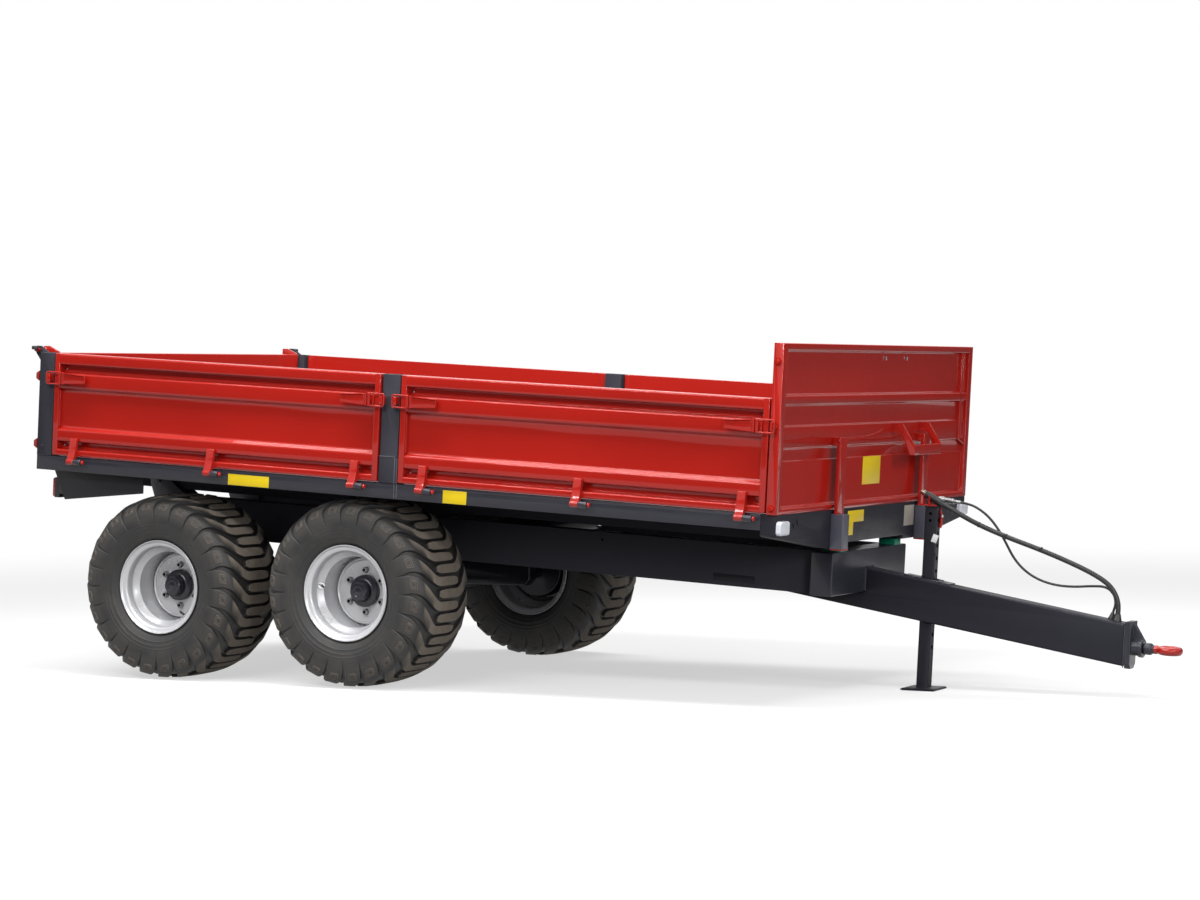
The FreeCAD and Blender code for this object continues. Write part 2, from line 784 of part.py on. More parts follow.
def make_ram_ears():
    """Two ears on a cross tube, with the pin that the tipping cylinder's foot turns on."""
    tube_front = "ram_foot_ahead - ram_tube_setback"
    outline = [(tube_front, "beam_bottom + ram_tube_lift"), (tube_front, "ram_foot_height + 18")]
    for across, up in ((4, 26), (20, 18), (27, 0), (20, -18), (4, -26)):
        outline.append((f"ram_foot_ahead + {across}", f"ram_foot_height + {up}"))
    gap = "(ram_eye_width / 2 + ram_ear_gap)"
    right = prism("ram_ear", "xz", outline, (f"-{gap} - ram_ear_thickness", f"-{gap}"))
    end = f"({gap} + ram_ear_thickness + 6)"
    pin = rod("ram_foot_pin", "y", ("ram_foot_ahead", "ram_foot_height"), "tip_pin_radius", (f"-{end}", end))
    return [right, mirrored("ram_ear_left", right), pin]


def make_tip_hinge():
    """Plates on both faces of each chassis beam's rear end, and the pin that the bed tips about."""
    back = "-tip_hinge_back"
    crown = "tip_hinge_height + 0.92 * tip_lug_radius"
    outline = [
        ("-beam_rear + tip_plate_reach", "beam_bottom + tip_plate_lift"),
        (f"{back} + 0.6 * tip_lug_radius", "beam_bottom + tip_plate_lift"),
        (f"{back} - tip_lug_radius", "tip_hinge_height - 0.4 * tip_lug_radius"),
        (f"{back} - tip_lug_radius", "tip_hinge_height + 0.4 * tip_lug_radius"),
        (f"{back} - 0.5 * tip_lug_radius", crown),
        (f"{back} + 0.5 * tip_lug_radius", crown),
        (f"{back} + tip_lug_radius", "tip_hinge_height + 0.4 * tip_lug_radius"),
        ("-beam_rear + tip_plate_reach", "beam_top"),
    ]
    inner = prism("tip_plate_inner", "xz", outline, ("-beam_inner", "-beam_inner + tip_lug_thickness"))
    outer = prism("tip_plate_outer", "xz", outline, ("-beam_outer - tip_lug_thickness", "-beam_outer"))
    ends = ("-beam_outer - 2 * tip_lug_thickness", "-beam_inner + 2 * tip_lug_thickness")
    pin = rod("tip_pin", "y", (back, "tip_hinge_height"), "tip_pin_radius", ends)
    both_sides("tip_hinge_plates", fused("tip_hinge", [inner, outer, pin]))


# Tipping cylinder, drawn along +X from its foot pin and then turned up to its rest slope


def make_ram():
    """The barrel, two hollow stages and the rod, each a running fit in the one outside it."""
    rise = math.degrees(
        math.atan2(
            number("ram_head_height - ram_foot_height"),
            number("ram_head_ahead - ram_foot_ahead"),
        )
    )
    slope = FreeCAD.Rotation(Vector(0, 1, 0), -rise)
    solids = {}
    eye_span = ("-ram_eye_width / 2", "ram_eye_width / 2")
    shell = turned(
        "ram_shell",
        [
            ("ram_foot_setback", "0"),
            ("ram_foot_setback", "ram_barrel_radius"),
            ("ram_foot_setback + ram_barrel_length", "ram_barrel_radius"),
            ("ram_foot_setback + ram_barrel_length", "ram_barrel_radius - ram_wall"),
            ("ram_foot_setback + ram_base_thickness", "ram_barrel_radius - ram_wall"),
            ("ram_foot_setback + ram_base_thickness", "0"),
        ],
        axis="x",
    )
    lug = rod("ram_foot_lug", "y", ("0", "0"), "ram_foot_setback + 8", eye_span)
    bore = rod("ram_foot_bore", "y", ("0", "0"), "tip_pin_radius + pin_clearance", eye_span)
    solids["cylinder_barrel"] = carved("ram_barrel", fused("ram_barrel_solid", [shell, lug]), [bore])
    radius = "ram_barrel_radius - ram_wall"
    for count, name in enumerate(("cylinder_stage_outer", "cylinder_stage_middle", "cylinder_rod"), 1):
        start = f"ram_foot_setback + ram_base_thickness + {count} * ram_stage_inset"
        end = f"ram_foot_setback + ram_barrel_length + {count} * ram_stage_show"
        outer = f"{radius} - {count} * ram_stage_gap - {count - 1} * ram_stage_wall"
        if count < 3:
            inner = f"{outer} - ram_stage_wall"
            outline = [(start, inner), (start, outer), (end, outer), (end, inner)]
            solids[name] = turned(f"ram_stage_{count}", outline, axis="x")
            continue
        stem = turned("ram_stem", [(start, "0"), (start, outer), (end, outer), (end, "0")], axis="x")
        neck = rod("ram_neck", "x", ("0", "0"), "ram_eye_radius - 8", (end, "ram_eye_back"))
        eye = rod("ram_eye", "y", ("ram_reach", "0"), "ram_eye_radius", eye_span)
        hole = rod("ram_eye_bore", "y", ("ram_reach", "0"), "ram_eye_radius / 2", eye_span)
        solids[name] = carved("ram_rod", fused("ram_rod_solid", [stem, neck, eye]), [hole])
    for name, solid in solids.items():
        placed = moved(f"{name}_placed", solid, "ram_foot_ahead", "0", "ram_foot_height", slope)
        node(name, [placed])


# Bed


def make_floor():
    """The floor plate, and under it the cross members with the rear sill."""
    across = ("-rail_inner", "rail_inner")
    under = ("runner_top", "floor_top - floor_thickness")
    plate = block("floor_plate", ("-bed_rear", "member_rear"), across, (under[1], "floor_top"))
    node("bed_floor", [plate])
    members = [block("rear_sill", ("-bed_rear", "sill_width - bed_rear"), across, under)]
    for count in range(9):
        rear = f"-bed_rear + sill_width + cross_member_first + {count} * cross_member_pitch"
        span = (rear, f"{rear} + cross_member_width")
        members.append(block(f"cross_member_{count + 1}", span, across, under))
    node("bed_cross_members", members)


def make_runners():
    """Two lengthwise beams under the bed, bored for the tip hinge's pin, that rest on the pads."""
    bar = block(
        "runner_bar",
        ("-runner_rear", "member_rear"),
        ("-runner_outer", "-runner_inner"),
        ("runner_bottom", "runner_top"),
    )
    across = ("-runner_outer - 5", "-runner_inner + 5")
    centre = ("-tip_hinge_back", "tip_hinge_height")
    bore = rod("runner_bore", "y", centre, "tip_pin_radius + pin_clearance", across)
    both_sides("bed_runners", carved("runner", bar, [bore]))


PANELS = {"rear": "rear_panel_start", "front": "front_panel_start"}


def strap_start(end, count):
    return f"{PANELS[end]} + strap_first + {count} * strap_pitch"


def make_rail():
    """A side rail with the fixed sleeves of the side panels' hinges along its outer face."""
    length = ("-bed_rear", "member_rear")
    pieces = [block("rail_bar", length, ("-rail_outer", "-rail_inner"), ("rail_bottom", "floor_top"))]
    bores = []
    for end in PANELS:
        for count in range(3):
            name = f"{end}_{count + 1}"
            start = f"{strap_start(end, count)} + strap_width + 1"
            span = (start, f"{start} + hinge_sleeve_length")
            centre = ("-hinge_y", "hinge_z")
            pieces.append(rod(f"sleeve_{name}", "x", centre, "hinge_eye_radius", span))
            web = ("hinge_z - 8", "hinge_z + 8")
            pieces.append(block(f"sleeve_web_{name}", span, ("-hinge_y", "-rail_outer"), web))
            bore = (f"{start} - 1", f"{start} + hinge_sleeve_length + 1")
            radius = "hinge_pin_radius + pin_clearance"
            bores.append(rod(f"sleeve_bore_{name}", "x", centre, radius, bore))
    return carved("rail", fused("rail_solid", pieces), bores)


def latch_lug(name, edge, side):
    """The lug that a latch's loop lies round, on a post or on the front wall. side is its way in x."""
    near = f"{edge} + {side} * (latch_hook_reach - latch_bar - 5 - latch_lug_width)"
    far = f"{edge} + {side} * (latch_hook_reach - latch_bar - 5)"
    span = (near, far) if side > 0 else (far, near)
    return block(name, span, ("-bed_half_width - 24", "-post_outer"), ("latch_z - 20", "latch_z + 20"))


def make_posts():
    """The rear posts, with the gussets of the tailgate's hinge, and the middle posts in their sockets."""
    across = ("-post_outer", "-post_inner")
    upright = ("floor_top", "panel_top")
    post = block("rear_post_bar", ("-bed_rear", "rear_post_front"), across, upright)
    outline = [
        ("-bed_rear + 40", "panel_top"),
        ("-bed_rear + 40", "panel_top - 60"),
        ("-bed_rear", "panel_top - 60"),
        ("-gate_hinge_back - 16", "gate_hinge_height - gusset_radius + 6"),
        ("-gate_hinge_back - gusset_radius", "gate_hinge_height"),
        ("-gate_hinge_back - 14", "gate_hinge_height + gusset_radius - 4"),
        ("-gate_hinge_back + 14", "gate_hinge_height + gusset_radius - 4"),
    ]
    hole = [("-gate_hinge_back", "gate_hinge_height", "gate_pin_radius + pin_clearance")]
    gusset_span = ("-post_outer + 20", "-post_outer + 20 + gusset_thickness")
    gusset = prism("gusset", "xz", outline, gusset_span, hole)
    lug = latch_lug("rear_post_lug", "rear_panel_start", -1)
    both_sides("rear_posts", fused("rear_post", [post, gusset, lug]))

    post = block("middle_post_bar", ("middle_post_start", "middle_post_end"), across, upright)
    socket = block(
        "middle_socket",
        ("middle_post_start - socket_wall", "middle_post_end + socket_wall"),
        ("-post_outer - socket_wall", "-post_inner"),
        ("floor_top", "rail_bottom + socket_height"),
    )
    lugs = [
        latch_lug("middle_lug_rear", "rear_panel_end", 1),
        latch_lug("middle_lug_front", "front_panel_start", -1),
    ]
    both_sides("middle_posts", fused("middle_post", [post, socket] + lugs))


def make_front_wall():
    """The fixed front wall: a ribbed sheet between two end flanges, with lugs for the panel latches."""
    face = "wall_front"
    outline = [
        ("wall_rear", "floor_top"),
        (face, "floor_top"),
        (face, "floor_top + 25"),
        (f"{face} - 22", "floor_top + 35"),
        (f"{face} - 22", "floor_top + 238"),
        (f"{face} - 27", "floor_top + 245"),
        (f"{face} - 27", "floor_top + 296"),
        (f"{face} - 14", "floor_top + 304"),
        (f"{face} - 14", "floor_top + 400"),
        (f"{face} - 22", "floor_top + 408"),
        (f"{face} - 22", "floor_top + 498"),
        (f"{face} - 4", "floor_top + 506"),
        (f"{face} - 4", "floor_top + 544"),
        (f"{face} - 22", "floor_top + 552"),
        (f"{face} - 22", "wall_top - 38"),
        (face, "wall_top - 30"),
        (face, "wall_top"),
        ("wall_rear", "wall_top"),
    ]
    inside = "bed_half_width - wall_flange"
    sheet = prism("wall_sheet", "xz", outline, (f"-({inside})", inside))
    edge = ("-bed_half_width", f"-({inside})")
    flange = block("wall_flange_right", ("wall_rear", face), edge, ("floor_top", "wall_top"))
    lug = latch_lug("wall_lug", "front_panel_end", 1)
    pieces = [sheet]
    for piece in (flange, lug):
        pieces += [piece, mirrored(f"{piece.Name}_left", piece)]
    node("front_wall", [fused("wall", pieces)])


def make_front_member():
    """The deep cross member under the front wall, lower in the middle where the stays stand on it."""
    top = "floor_top"
    right = [
        ("-rail_outer", top),
        ("-rail_outer", f"{top} - member_end_height + 12"),
        ("-rail_outer + 14", f"{top} - member_end_height"),
        ("-member_deep_half", f"{top} - member_deep_height"),
        ("-member_notch_half", f"{top} - member_deep_height"),
        ("-member_notch_half", f"{top} - member_notch_height"),
    ]
    left = [(f"-({y})", z) for y, z in reversed(right)]
    node("front_member", [prism("member", "yz", right + left, ("member_rear", "wall_front"))])


def make_stays():
    """Red stays up the front wall and the dark feet that carry them in front of the member."""
    across = ("-stay_inner - stay_width", "-stay_inner")
    foot_top = "floor_top - 20"
    back = "wall_front + stay_gap"
    bar_height = (foot_top, f"{foot_top} + stay_height + 20")
    bar = block("stay_bar", (back, f"{back} + stay_depth"), across, bar_height)
    tie_height = (f"{foot_top} + stay_height - 20", f"{foot_top} + stay_height + 20")
    tie = block("stay_tie", ("wall_front - 14", back), across, tie_height)
    both_sides("wall_stays", fused("stay", [bar, tie]))
    foot = block(
        "stay_foot",
        ("wall_front", "wall_front + stay_foot_depth"),
        across,
        ("floor_top - member_deep_height - 2", foot_top),
    )
    both_sides("stay_feet", foot)


def make_step():
    """A step on the front wall: two cranked arms and a flat tread between their tips."""
    face = "wall_front - 14"
    tip = f"{face} + step_reach"
    outline = [
        (face, "step_top - step_arm_depth"),
        (face, "step_top"),
        (f"{face} + 57", "step_top"),
        (tip, "step_top - step_drop + step_tread_height"),
        (tip, "step_top - step_drop"),
        (f"{tip} - 28", "step_top - step_drop"),
        (f"{face} + 50", "step_top - step_arm_depth"),
    ]
    near = prism("step_arm_near", "xz", outline, ("step_inner", "step_inner + step_plate"))
    end = "step_inner + step_width"
    far = prism("step_arm_far", "xz", outline, (f"{end} - step_plate", end))
    low = "step_top - step_drop"
    height = (low, f"{low} + step_tread_height")
    tread = block("step_tread", (f"{tip} - 28", tip), ("step_inner", end), height)
    node("front_step", [fused("step", [near, far, tread])])


def make_lamps():
    """White lamps on the front corners, and red rear lamps on tapered plates under the side rails."""
    high = "floor_top - 28"
    lamp = block(
        "front_lamp",
        ("wall_front", "wall_front + front_lamp_depth"),
        ("-rail_outer", "-rail_outer + front_lamp_width"),
        (f"{high} - front_lamp_height", high),
    )
    both_sides("front_lamps", lamp)
    outline = [
        ("-bed_rear + 75", "rail_bottom"),
        ("-bed_rear + 148", "rail_bottom - 151"),
        ("-bed_rear + 640", "rail_bottom - 86"),
        ("-bed_rear + 640", "rail_bottom"),
    ]
    inner = "-(rail_outer - lamp_plate_inset)"
    plate = prism("lamp_plate", "xz", outline, (f"{inner} - lamp_plate_thickness", inner))
    both_sides("rear_lamp_plates", plate)
    rear = "-bed_rear + 58"
    low = "rail_bottom - 145"
    lamp = block(
        "rear_lamp",
        (rear, f"{rear} + rear_lamp_depth"),
        (inner, f"{inner} + rear_lamp_width"),
        (low, f"{low} + rear_lamp_height"),
    )
    tab = block(
        "rear_lamp_tab",
        (f"{rear} + rear_lamp_depth", f"{rear} + rear_lamp_depth + 60"),
        (inner, f"{inner} + 6"),
        (f"{low} + 20", f"{low} + rear_lamp_height"),
    )
    both_sides("rear_lamps", fused("rear_lamp_solid", [lamp, tab]))


def make_ram_bracket():
    """Ears under the bed that the cylinder's rod meets. Its pin stays open, so the rod's eye is free."""
    outline = [
        ("ram_head_ahead - 2 * ram_eye_radius", "runner_top"),
        ("ram_head_ahead - 0.85 * ram_eye_radius", "ram_head_height - 0.85 * ram_eye_radius"),
        ("ram_head_ahead + 0.85 * ram_eye_radius", "ram_head_height - 0.85 * ram_eye_radius"),
        ("ram_head_ahead + 2 * ram_eye_radius", "runner_top"),
    ]
    gap = "(ram_eye_width / 2 + ram_ear_gap)"
    hole = [("ram_head_ahead", "ram_head_height", "ram_eye_radius / 2")]
    ear = prism("head_ear", "xz", outline, (f"-{gap} - ram_ear_thickness", f"-{gap}"), hole)
    bar = block(
        "head_bar",
        ("ram_head_ahead - 2 * ram_eye_radius", "ram_head_ahead + 2 * ram_eye_radius"),
        ("-runner_inner", "runner_inner"),
        ("runner_top - ram_ear_thickness", "runner_top"),
    )
    node("cylinder_bracket", [fused("head_bracket", [ear, mirrored("head_ear_left", ear), bar])])


# Side panels


def make_panel(end):
    """A hinged side panel: ribbed skin, end channels, three hinge straps with pins, and two latches."""
    start = PANELS[end]
    finish = f"{end}_panel_end"
    face = "-bed_half_width"
    top = "panel_top"
    back = f"{face} + panel_thickness"
    deep = f"{face} + panel_recess"
    shallow = f"{face} + panel_recess - 3"
    outline = [
        (back, top),
        (face, top),
        (face, f"{top} - 57"),
        (deep, f"{top} - 62"),
        (deep, f"{top} - 88"),
        (f"{face} + 5", f"{top} - 97"),
        (f"{face} + 5", f"{top} - 177"),
        (shallow, f"{top} - 187"),
        (shallow, f"{top} - 382"),
        (f"{face} + 5", f"{top} - 392"),
        (f"{face} + 5", f"{top} - 457"),
        (deep, f"{top} - 466"),
        (deep, f"{top} - 497"),
        (face, f"{top} - 502"),
        (face, "panel_bottom"),
        (back, "panel_bottom"),
    ]
    inside = (f"{start} + panel_end_channel", f"{finish} - panel_end_channel")
    pieces = [prism(f"{end}_skin", "yz", outline, inside)]
    for name, span in (
        ("first", (start, inside[0])),
        ("last", (inside[1], finish)),
    ):
        pieces.append(block(f"{end}_channel_{name}", span, (face, back), ("panel_bottom", top)))
    for count in range(3):
        pieces += make_strap(f"{end}_{count + 1}", strap_start(end, count))
    pieces += make_latch(f"{end}_latch_rear", start, -1)
    pieces += make_latch(f"{end}_latch_front", finish, 1)
    return fused(f"{end}_panel", pieces)


def make_strap(name, start):
    """One hinge strap, its eye, and the pin with a head that runs through the rail's sleeve."""
    face = "-bed_half_width"
    proud = f"{face} - strap_thickness"
    outline = [
        (f"{face} + 2", "panel_bottom + strap_reach"),
        (proud, "panel_bottom + strap_reach"),
        (proud, "panel_bottom + 25"),
        ("-hinge_y - hinge_eye_radius + 4", "hinge_z + 10"),
        ("-hinge_y + hinge_eye_radius - 4", "hinge_z + 10"),
        (f"{face} + 2", "panel_bottom + 4"),
    ]
    span = (start, f"{start} + strap_width")
    centre = ("-hinge_y", "hinge_z")
    sleeve_end = f"{start} + strap_width + 1 + hinge_sleeve_length + 1"
    head = (sleeve_end, f"{sleeve_end} + hinge_head_length")
    return [
        prism(f"strap_{name}", "yz", outline, span),
        rod(f"strap_eye_{name}", "x", centre, "hinge_eye_radius", span),
        rod(f"strap_pin_{name}", "x", centre, "hinge_pin_radius", (span[0], head[1])),
        rod(f"strap_head_{name}", "x", centre, "hinge_eye_radius - 2", head),
    ]


def make_latch(name, edge, side):
    """An over-centre latch: base, tapered handle and the loop that reaches over the post's lug."""

    def along(near, far):
        ends = (f"{edge} + {side} * ({near})", f"{edge} + {side} * ({far})")
        return ends if side > 0 else ends[::-1]

    face = "-bed_half_width"
    half = "latch_height / 2"
    out = f"{face} - 16"
    depth = (f"{out} - 10", out)
    height = ("latch_z - 22", "latch_z + 22")
    base = block(f"{name}_base", along("-66", "-6"), (f"{out} - 10", f"{face} + 6"), height)
    grip = (f"{edge} - {side} * 44", f"{edge} - {side} * latch_handle_reach")
    outline = [
        (grip[0], f"latch_z - {half} + 6"),
        (grip[1], "latch_z - 17"),
        (grip[1], "latch_z + 17"),
        (grip[0], f"latch_z + {half} - 6"),
    ]
    handle = prism(f"{name}_handle", "xz", outline, (f"{out} - 16", f"{out} + 2"))
    loop = [base, handle]
    for place, low in (("low", f"latch_z - {half}"), ("high", f"latch_z + {half} - latch_bar")):
        bar = (low, f"{low} + latch_bar")
        loop.append(block(f"{name}_bar_{place}", along("-50", "latch_hook_reach"), depth, bar))
    ends = (f"latch_z - {half}", f"latch_z + {half}")
    loop.append(block(f"{name}_hook", along("latch_hook_reach - latch_bar", "latch_hook_reach"), depth, ends))
    loop.append(block(f"{name}_yoke", along("-50", "-38"), depth, ends))
    return loop


def make_panels():
    for end in PANELS:
        panel = make_panel(end)
        node(f"side_panel_{end}_right", [panel])
        node(f"side_panel_{end}_left", [mirrored(f"{end}_panel_left", panel)])


def make_tailgate():
    """The top-hung tailgate: panel, two ribs that pass behind the posts, and arms with hinge pins."""
    rear = "gate_rear"
    low = "floor_top + gate_lift"
    top = "panel_top"
    panel = block("gate_panel", (rear, "gate_front"), ("-gate_half", "gate_half"), (low, top))
    rib_face = "-bed_rear - 5"
    ribs = []
    for name, drop in (("upper", "gate_upper_rib_drop"), ("lower", "gate_lower_rib_drop")):
        outline = [
            (rib_face, f"{top} - {drop}"),
            (f"{rib_face} - gate_rib_depth", f"{top} - {drop} - 12"),
            (f"{rib_face} - gate_rib_depth", f"{top} - {drop} - gate_rib_height + 12"),
            (rib_face, f"{top} - {drop} - gate_rib_height"),
        ]
        ribs.append(prism(f"gate_rib_{name}", "xz", outline, ("-post_outer + 4", "post_outer - 4")))
        inner = (f"{top} - {drop} - gate_rib_height", f"{top} - {drop}")
        ribs.append(block(f"gate_rib_back_{name}", (rib_face, rear), ("-gate_half", "gate_half"), inner))
    outline = [
        ("gate_front - 6", f"{top} - 60"),
        ("gate_front - 6", f"{top} + 6"),
        ("-gate_hinge_back + 16", "gate_hinge_height + 20"),
        ("-gate_hinge_back - 18", "gate_hinge_height + 18"),
        ("-gate_hinge_back - 18", "gate_hinge_height - 18"),
        (rear, f"{top} - 60"),
    ]
    arm = prism("gate_arm", "xz", outline, ("-gate_half", "-gate_half + 14"))
    pin = rod(
        "gate_pin",
        "y",
        ("-gate_hinge_back", "gate_hinge_height"),
        "gate_pin_radius",
        ("-post_outer - 6", "-gate_half + 14"),
    )
    pieces = [panel] + ribs
    for piece in (arm, pin):
        pieces += [piece, mirrored(f"{piece.Name}_left", piece)]
    node("tailgate", [fused("gate", pieces)])


# Drawbar, towing eye and jack leg


def make_drawbar():
    """The sloping drawbar tube, welded under and against the front box, slotted for the jack leg."""
    outline = [
        ("drawbar_tail", "beam_bottom"),
        ("front_box_front", "beam_bottom"),
        ("front_box_front", "drawbar_top_rear"),
        ("drawbar_front", "drawbar_top_front"),
        ("drawbar_front", "drawbar_top_front - drawbar_depth"),
    ]
    bar = prism("drawbar_bar", "xz", outline, ("-drawbar_width / 2", "drawbar_width / 2"))
    room = "(leg_side / 2 + leg_clearance)"
    slot = block(
        "leg_slot",
        (f"leg_ahead - {room}", f"leg_ahead + {room}"),
        (f"-{room}", room),
        ("0", "leg_top"),
    )
    node("drawbar", [carved("drawbar_slotted", bar, [slot])])


def make_head():
    """The end plate, the swivel housing in front of it and the gusset on top."""
    half = "drawbar_width / 2"
    low = "head_plate_top - head_plate_height"
    outline = [
        (f"-({half})", "head_plate_top"),
        (f"-({half})", f"{low} + 25"),
        (f"-({half}) + 25", low),
        (f"{half} - 25", low),
        (half, f"{low} + 25"),
        (half, "head_plate_top"),
    ]
    plate = prism("head_plate", "yz", outline, ("drawbar_front", "head_front"))
    centre = ("0", "eye_axis_height")
    boss = rod("head_boss", "x", centre, "boss_radius", ("head_front", "boss_front"))
    gusset = prism(
        "head_gusset",
        "xz",
        [
            ("head_front", "head_plate_top"),
            ("head_front", "eye_axis_height"),
            ("boss_front", "eye_axis_height"),
            ("boss_front", "eye_axis_height + boss_radius + 4"),
        ],
        ("-head_gusset_half", "head_gusset_half"),
    )
    collar_span = ("boss_front - head_collar_length", "boss_front")
    collar = rod("head_collar", "x", centre, "boss_radius + head_collar_rise", collar_span)
    solid = fused("head_solid", [plate, boss, gusset, collar])
    radius = "swivel_pin_radius + pin_clearance"
    bore = rod("head_bore", "x", centre, radius, ("drawbar_front + 10", "boss_front + 1"))
    node("drawbar_head", [carved("head", solid, [bore])])


def make_eye():
    """The swivelling towing eye: pin, collar, shank and a thick ring with an upright bore."""
    start = "boss_front + 1"
    shank = turned(
        "eye_shank",
        [
            ("head_front - 15", "0"),
            ("head_front - 15", "swivel_pin_radius"),
            (start, "swivel_pin_radius"),
            (start, "eye_collar_radius"),
            (f"{start} + eye_collar_length", "eye_collar_radius"),
            (f"{start} + eye_collar_length", "eye_shank_radius"),
            ("eye_centre_ahead - eye_outer_radius + 16", "eye_shank_radius - 9"),
            ("eye_centre_ahead - eye_outer_radius + 16", "0"),
        ],
        axis="x",
    )
    half = "eye_thickness / 2"
    ring = turned(
        "eye_ring",
        [
            ("eye_bore_radius", f"-({half}) + 6"),
            ("eye_bore_radius + 6", f"-({half})"),
            ("eye_outer_radius - 12", f"-({half})"),
            ("eye_outer_radius", f"-({half}) + 12"),
            ("eye_outer_radius", f"{half} - 12"),
            ("eye_outer_radius - 12", half),
            ("eye_bore_radius + 6", half),
            ("eye_bore_radius", f"{half} - 6"),
        ],
    )
    upright = FreeCAD.Rotation(Vector(1, 0, 0), 90)
    placed = moved("eye_ring_placed", ring, "eye_centre_ahead", "0", "eye_axis_height", upright)
    lifted = moved("eye_shank_placed", shank, "0", "0", "eye_axis_height")
    node("towing_eye", [fused("eye", [placed, lifted])])


def make_leg():
    """The jack leg: a square tube through the drawbar with a level foot plate on the ground."""
    half = "leg_side / 2"
    across = (f"-({half})", half)
    tube = block("leg_tube", ("leg_rear", "leg_front"), across, ("0", "leg_top"))
    lid = (f"-({half}) - 2", f"{half} + 2")
    cap = block("leg_cap", ("leg_rear - 2", "leg_front + 2"), lid, ("leg_top - 6", "leg_top"))
    leaning = doc.addObject("Part::Compound", "leg_leaning")
    leaning.Links = [fused("leg_upright", [tube, cap])]
    leaning.Placement = FreeCAD.Placement(Vector(), FreeCAD.Rotation(Vector(0, 1, 0), 1))
    leaning.setExpression("Placement.Rotation.Angle", formula("park_tilt"))
    leaning.setExpression("Placement.Base.x", formula("-hub_height * sin(park_tilt)"))
    leaning.setExpression("Placement.Base.z", formula("hub_height * (1 - cos(park_tilt))"))
    below = block("leg_below", ("2000", "4500"), ("-500", "500"), ("-900", "0"))
    foot_centre = "leg_ahead / cos(park_tilt) - hub_height * tan(park_tilt)"
    foot = block(
        "leg_foot",
        (f"{foot_centre} - foot_side / 2", f"{foot_centre} + foot_side / 2"),
        ("-foot_side / 2", "foot_side / 2"),
        ("0", "foot_thickness"),
    )
    trimmed = carved("leg_trimmed", leaning, [below])
    node("jack_leg", [fused("leg", [trimmed, foot])], LEVEL)


def make_cradle():
    """The red cradle on the leg's top: two notched plates under the hose coupling, one under the plug."""
    base_side = "cradle_width / 2"
    floor = "leg_top + cradle_plate"
    length = ("leg_rear - cradle_overhang", "leg_front - cradle_setback")
    base = block("cradle_base", length, (f"-{base_side}", base_side), ("leg_top", floor))
    pieces = [base]
    for name, rear, seat, height in (
        ("rear", "leg_rear - 17", "cradle_rear_seat", "cradle_rear_height"),
        ("front", "leg_rear + 14", "cradle_front_seat", "cradle_front_height"),
    ):
        notch = "(cradle_width / 2 - 8)"
        outline = [
            (f"-{base_side}", "leg_top"),
            (f"-{base_side}", f"leg_top + {height}"),
            (f"-{notch}", f"leg_top + {height}"),
            (f"-{notch}", f"leg_top + {seat}"),
            (notch, f"leg_top + {seat}"),
            (notch, f"leg_top + {height}"),
            (base_side, f"leg_top + {height}"),
            (base_side, "leg_top"),
        ]
        pieces.append(prism(f"cradle_{name}", "yz", outline, (rear, f"{rear} + cradle_plate")))
    across = ("cradle_width / 2 - 6", "cradle_width / 2 + 24")
    length = ("leg_front - cradle_setback - cradle_plate", "leg_front - cradle_setback")
    pieces.append(block("plug_rest", length, across, ("leg_top", "leg_top + plug_seat")))
    node("hose_cradle", [fused("cradle", pieces)])


# Hose and cable. Their routes are chosen points in the chassis frame, from the drawbar's top.

HOSE_ROUTE = [
    (4134, 0, 613.1),
    (4139, 0, 660),
    (4133, 0, 708),
    (4111, 0, 753),
    (4072, 0, 791),
    (4000, 0, 828),
    (3895, 0, 868),
    (3740, 0, 918),
    (3560, 0, 967),
    (3420, 0, 1013),
    (3310, 0, 1061),
    (3222, 0, 1103),
]

CABLE_ROUTE = [
    (4099, 24, 617.5),
    (4105, 25, 650),
    (4116, 28, 690),
    (4104, 30, 736),
    (4062, 32, 768),
    (3990, 34, 764),
    (3900, 34, 752),
    (3810, 34, 752),
    (3720, 34, 772),
    (3646, 34, 812),
    (3590, 34, 868),
    (3550, 32, 936),
    (3506, 31, 1002),
    (3454, 31, 1057),
    (3400, 33, 1091),
    (3350, 36, 1109),
    (3308, 36, 1112),
]


def cord_path(points):
    """Straight runs joined by tangent arcs, each as large as its two runs allow, and its radii."""
    nodes = [Vector(*point) for point in points]
    edges = []
    radii = []
    start = nodes[0]
    for before, corner, after in zip(nodes, nodes[1:], nodes[2:]):
        back = (before - corner).normalize()
        ahead = (after - corner).normalize()
        half_turn = (math.pi - back.getAngle(ahead)) / 2
        cut = 0.45 * min((before - corner).Length, (after - corner).Length)
        radii.append(cut / math.tan(half_turn))
        enter = corner + back * cut
        leave = corner + ahead * cut
        inward = (back + ahead).normalize()
        middle = corner + inward * (radii[-1] / math.cos(half_turn) - radii[-1])
        edges.append(Part.LineSegment(start, enter).toShape())
        edges.append(Part.Arc(enter, middle, leave).toShape())
        start = leave
    edges.append(Part.LineSegment(start, nodes[-1]).toShape())
    return Part.Wire(edges), radii


def make_cord(name, points, diameter_name):
    """A cord's tube along its path. Its size comes from the sheet and its route from its points."""
    diameter = float(doc.Sizes.get(diameter_name))
    wire, radii = cord_path(points)
    first = wire.Edges[0]
    section = Part.Wire([Part.Circle(Vector(*points[0]), first.tangentAt(0), diameter / 2).toShape()])
    tube = doc.addObject("Part::Feature", f"{name}_tube")
    tube.Shape = wire.makePipeShell([section], True, False)
    volume = math.pi * diameter**2 / 4 * wire.Length
    share = tube.Shape.Volume / volume
    print(f"{name}: length {wire.Length:.1f}, volume share {share:.4f}")
    print("  radii", " ".join(f"{radius:.0f}" for radius in radii))
    node(name, [tube])


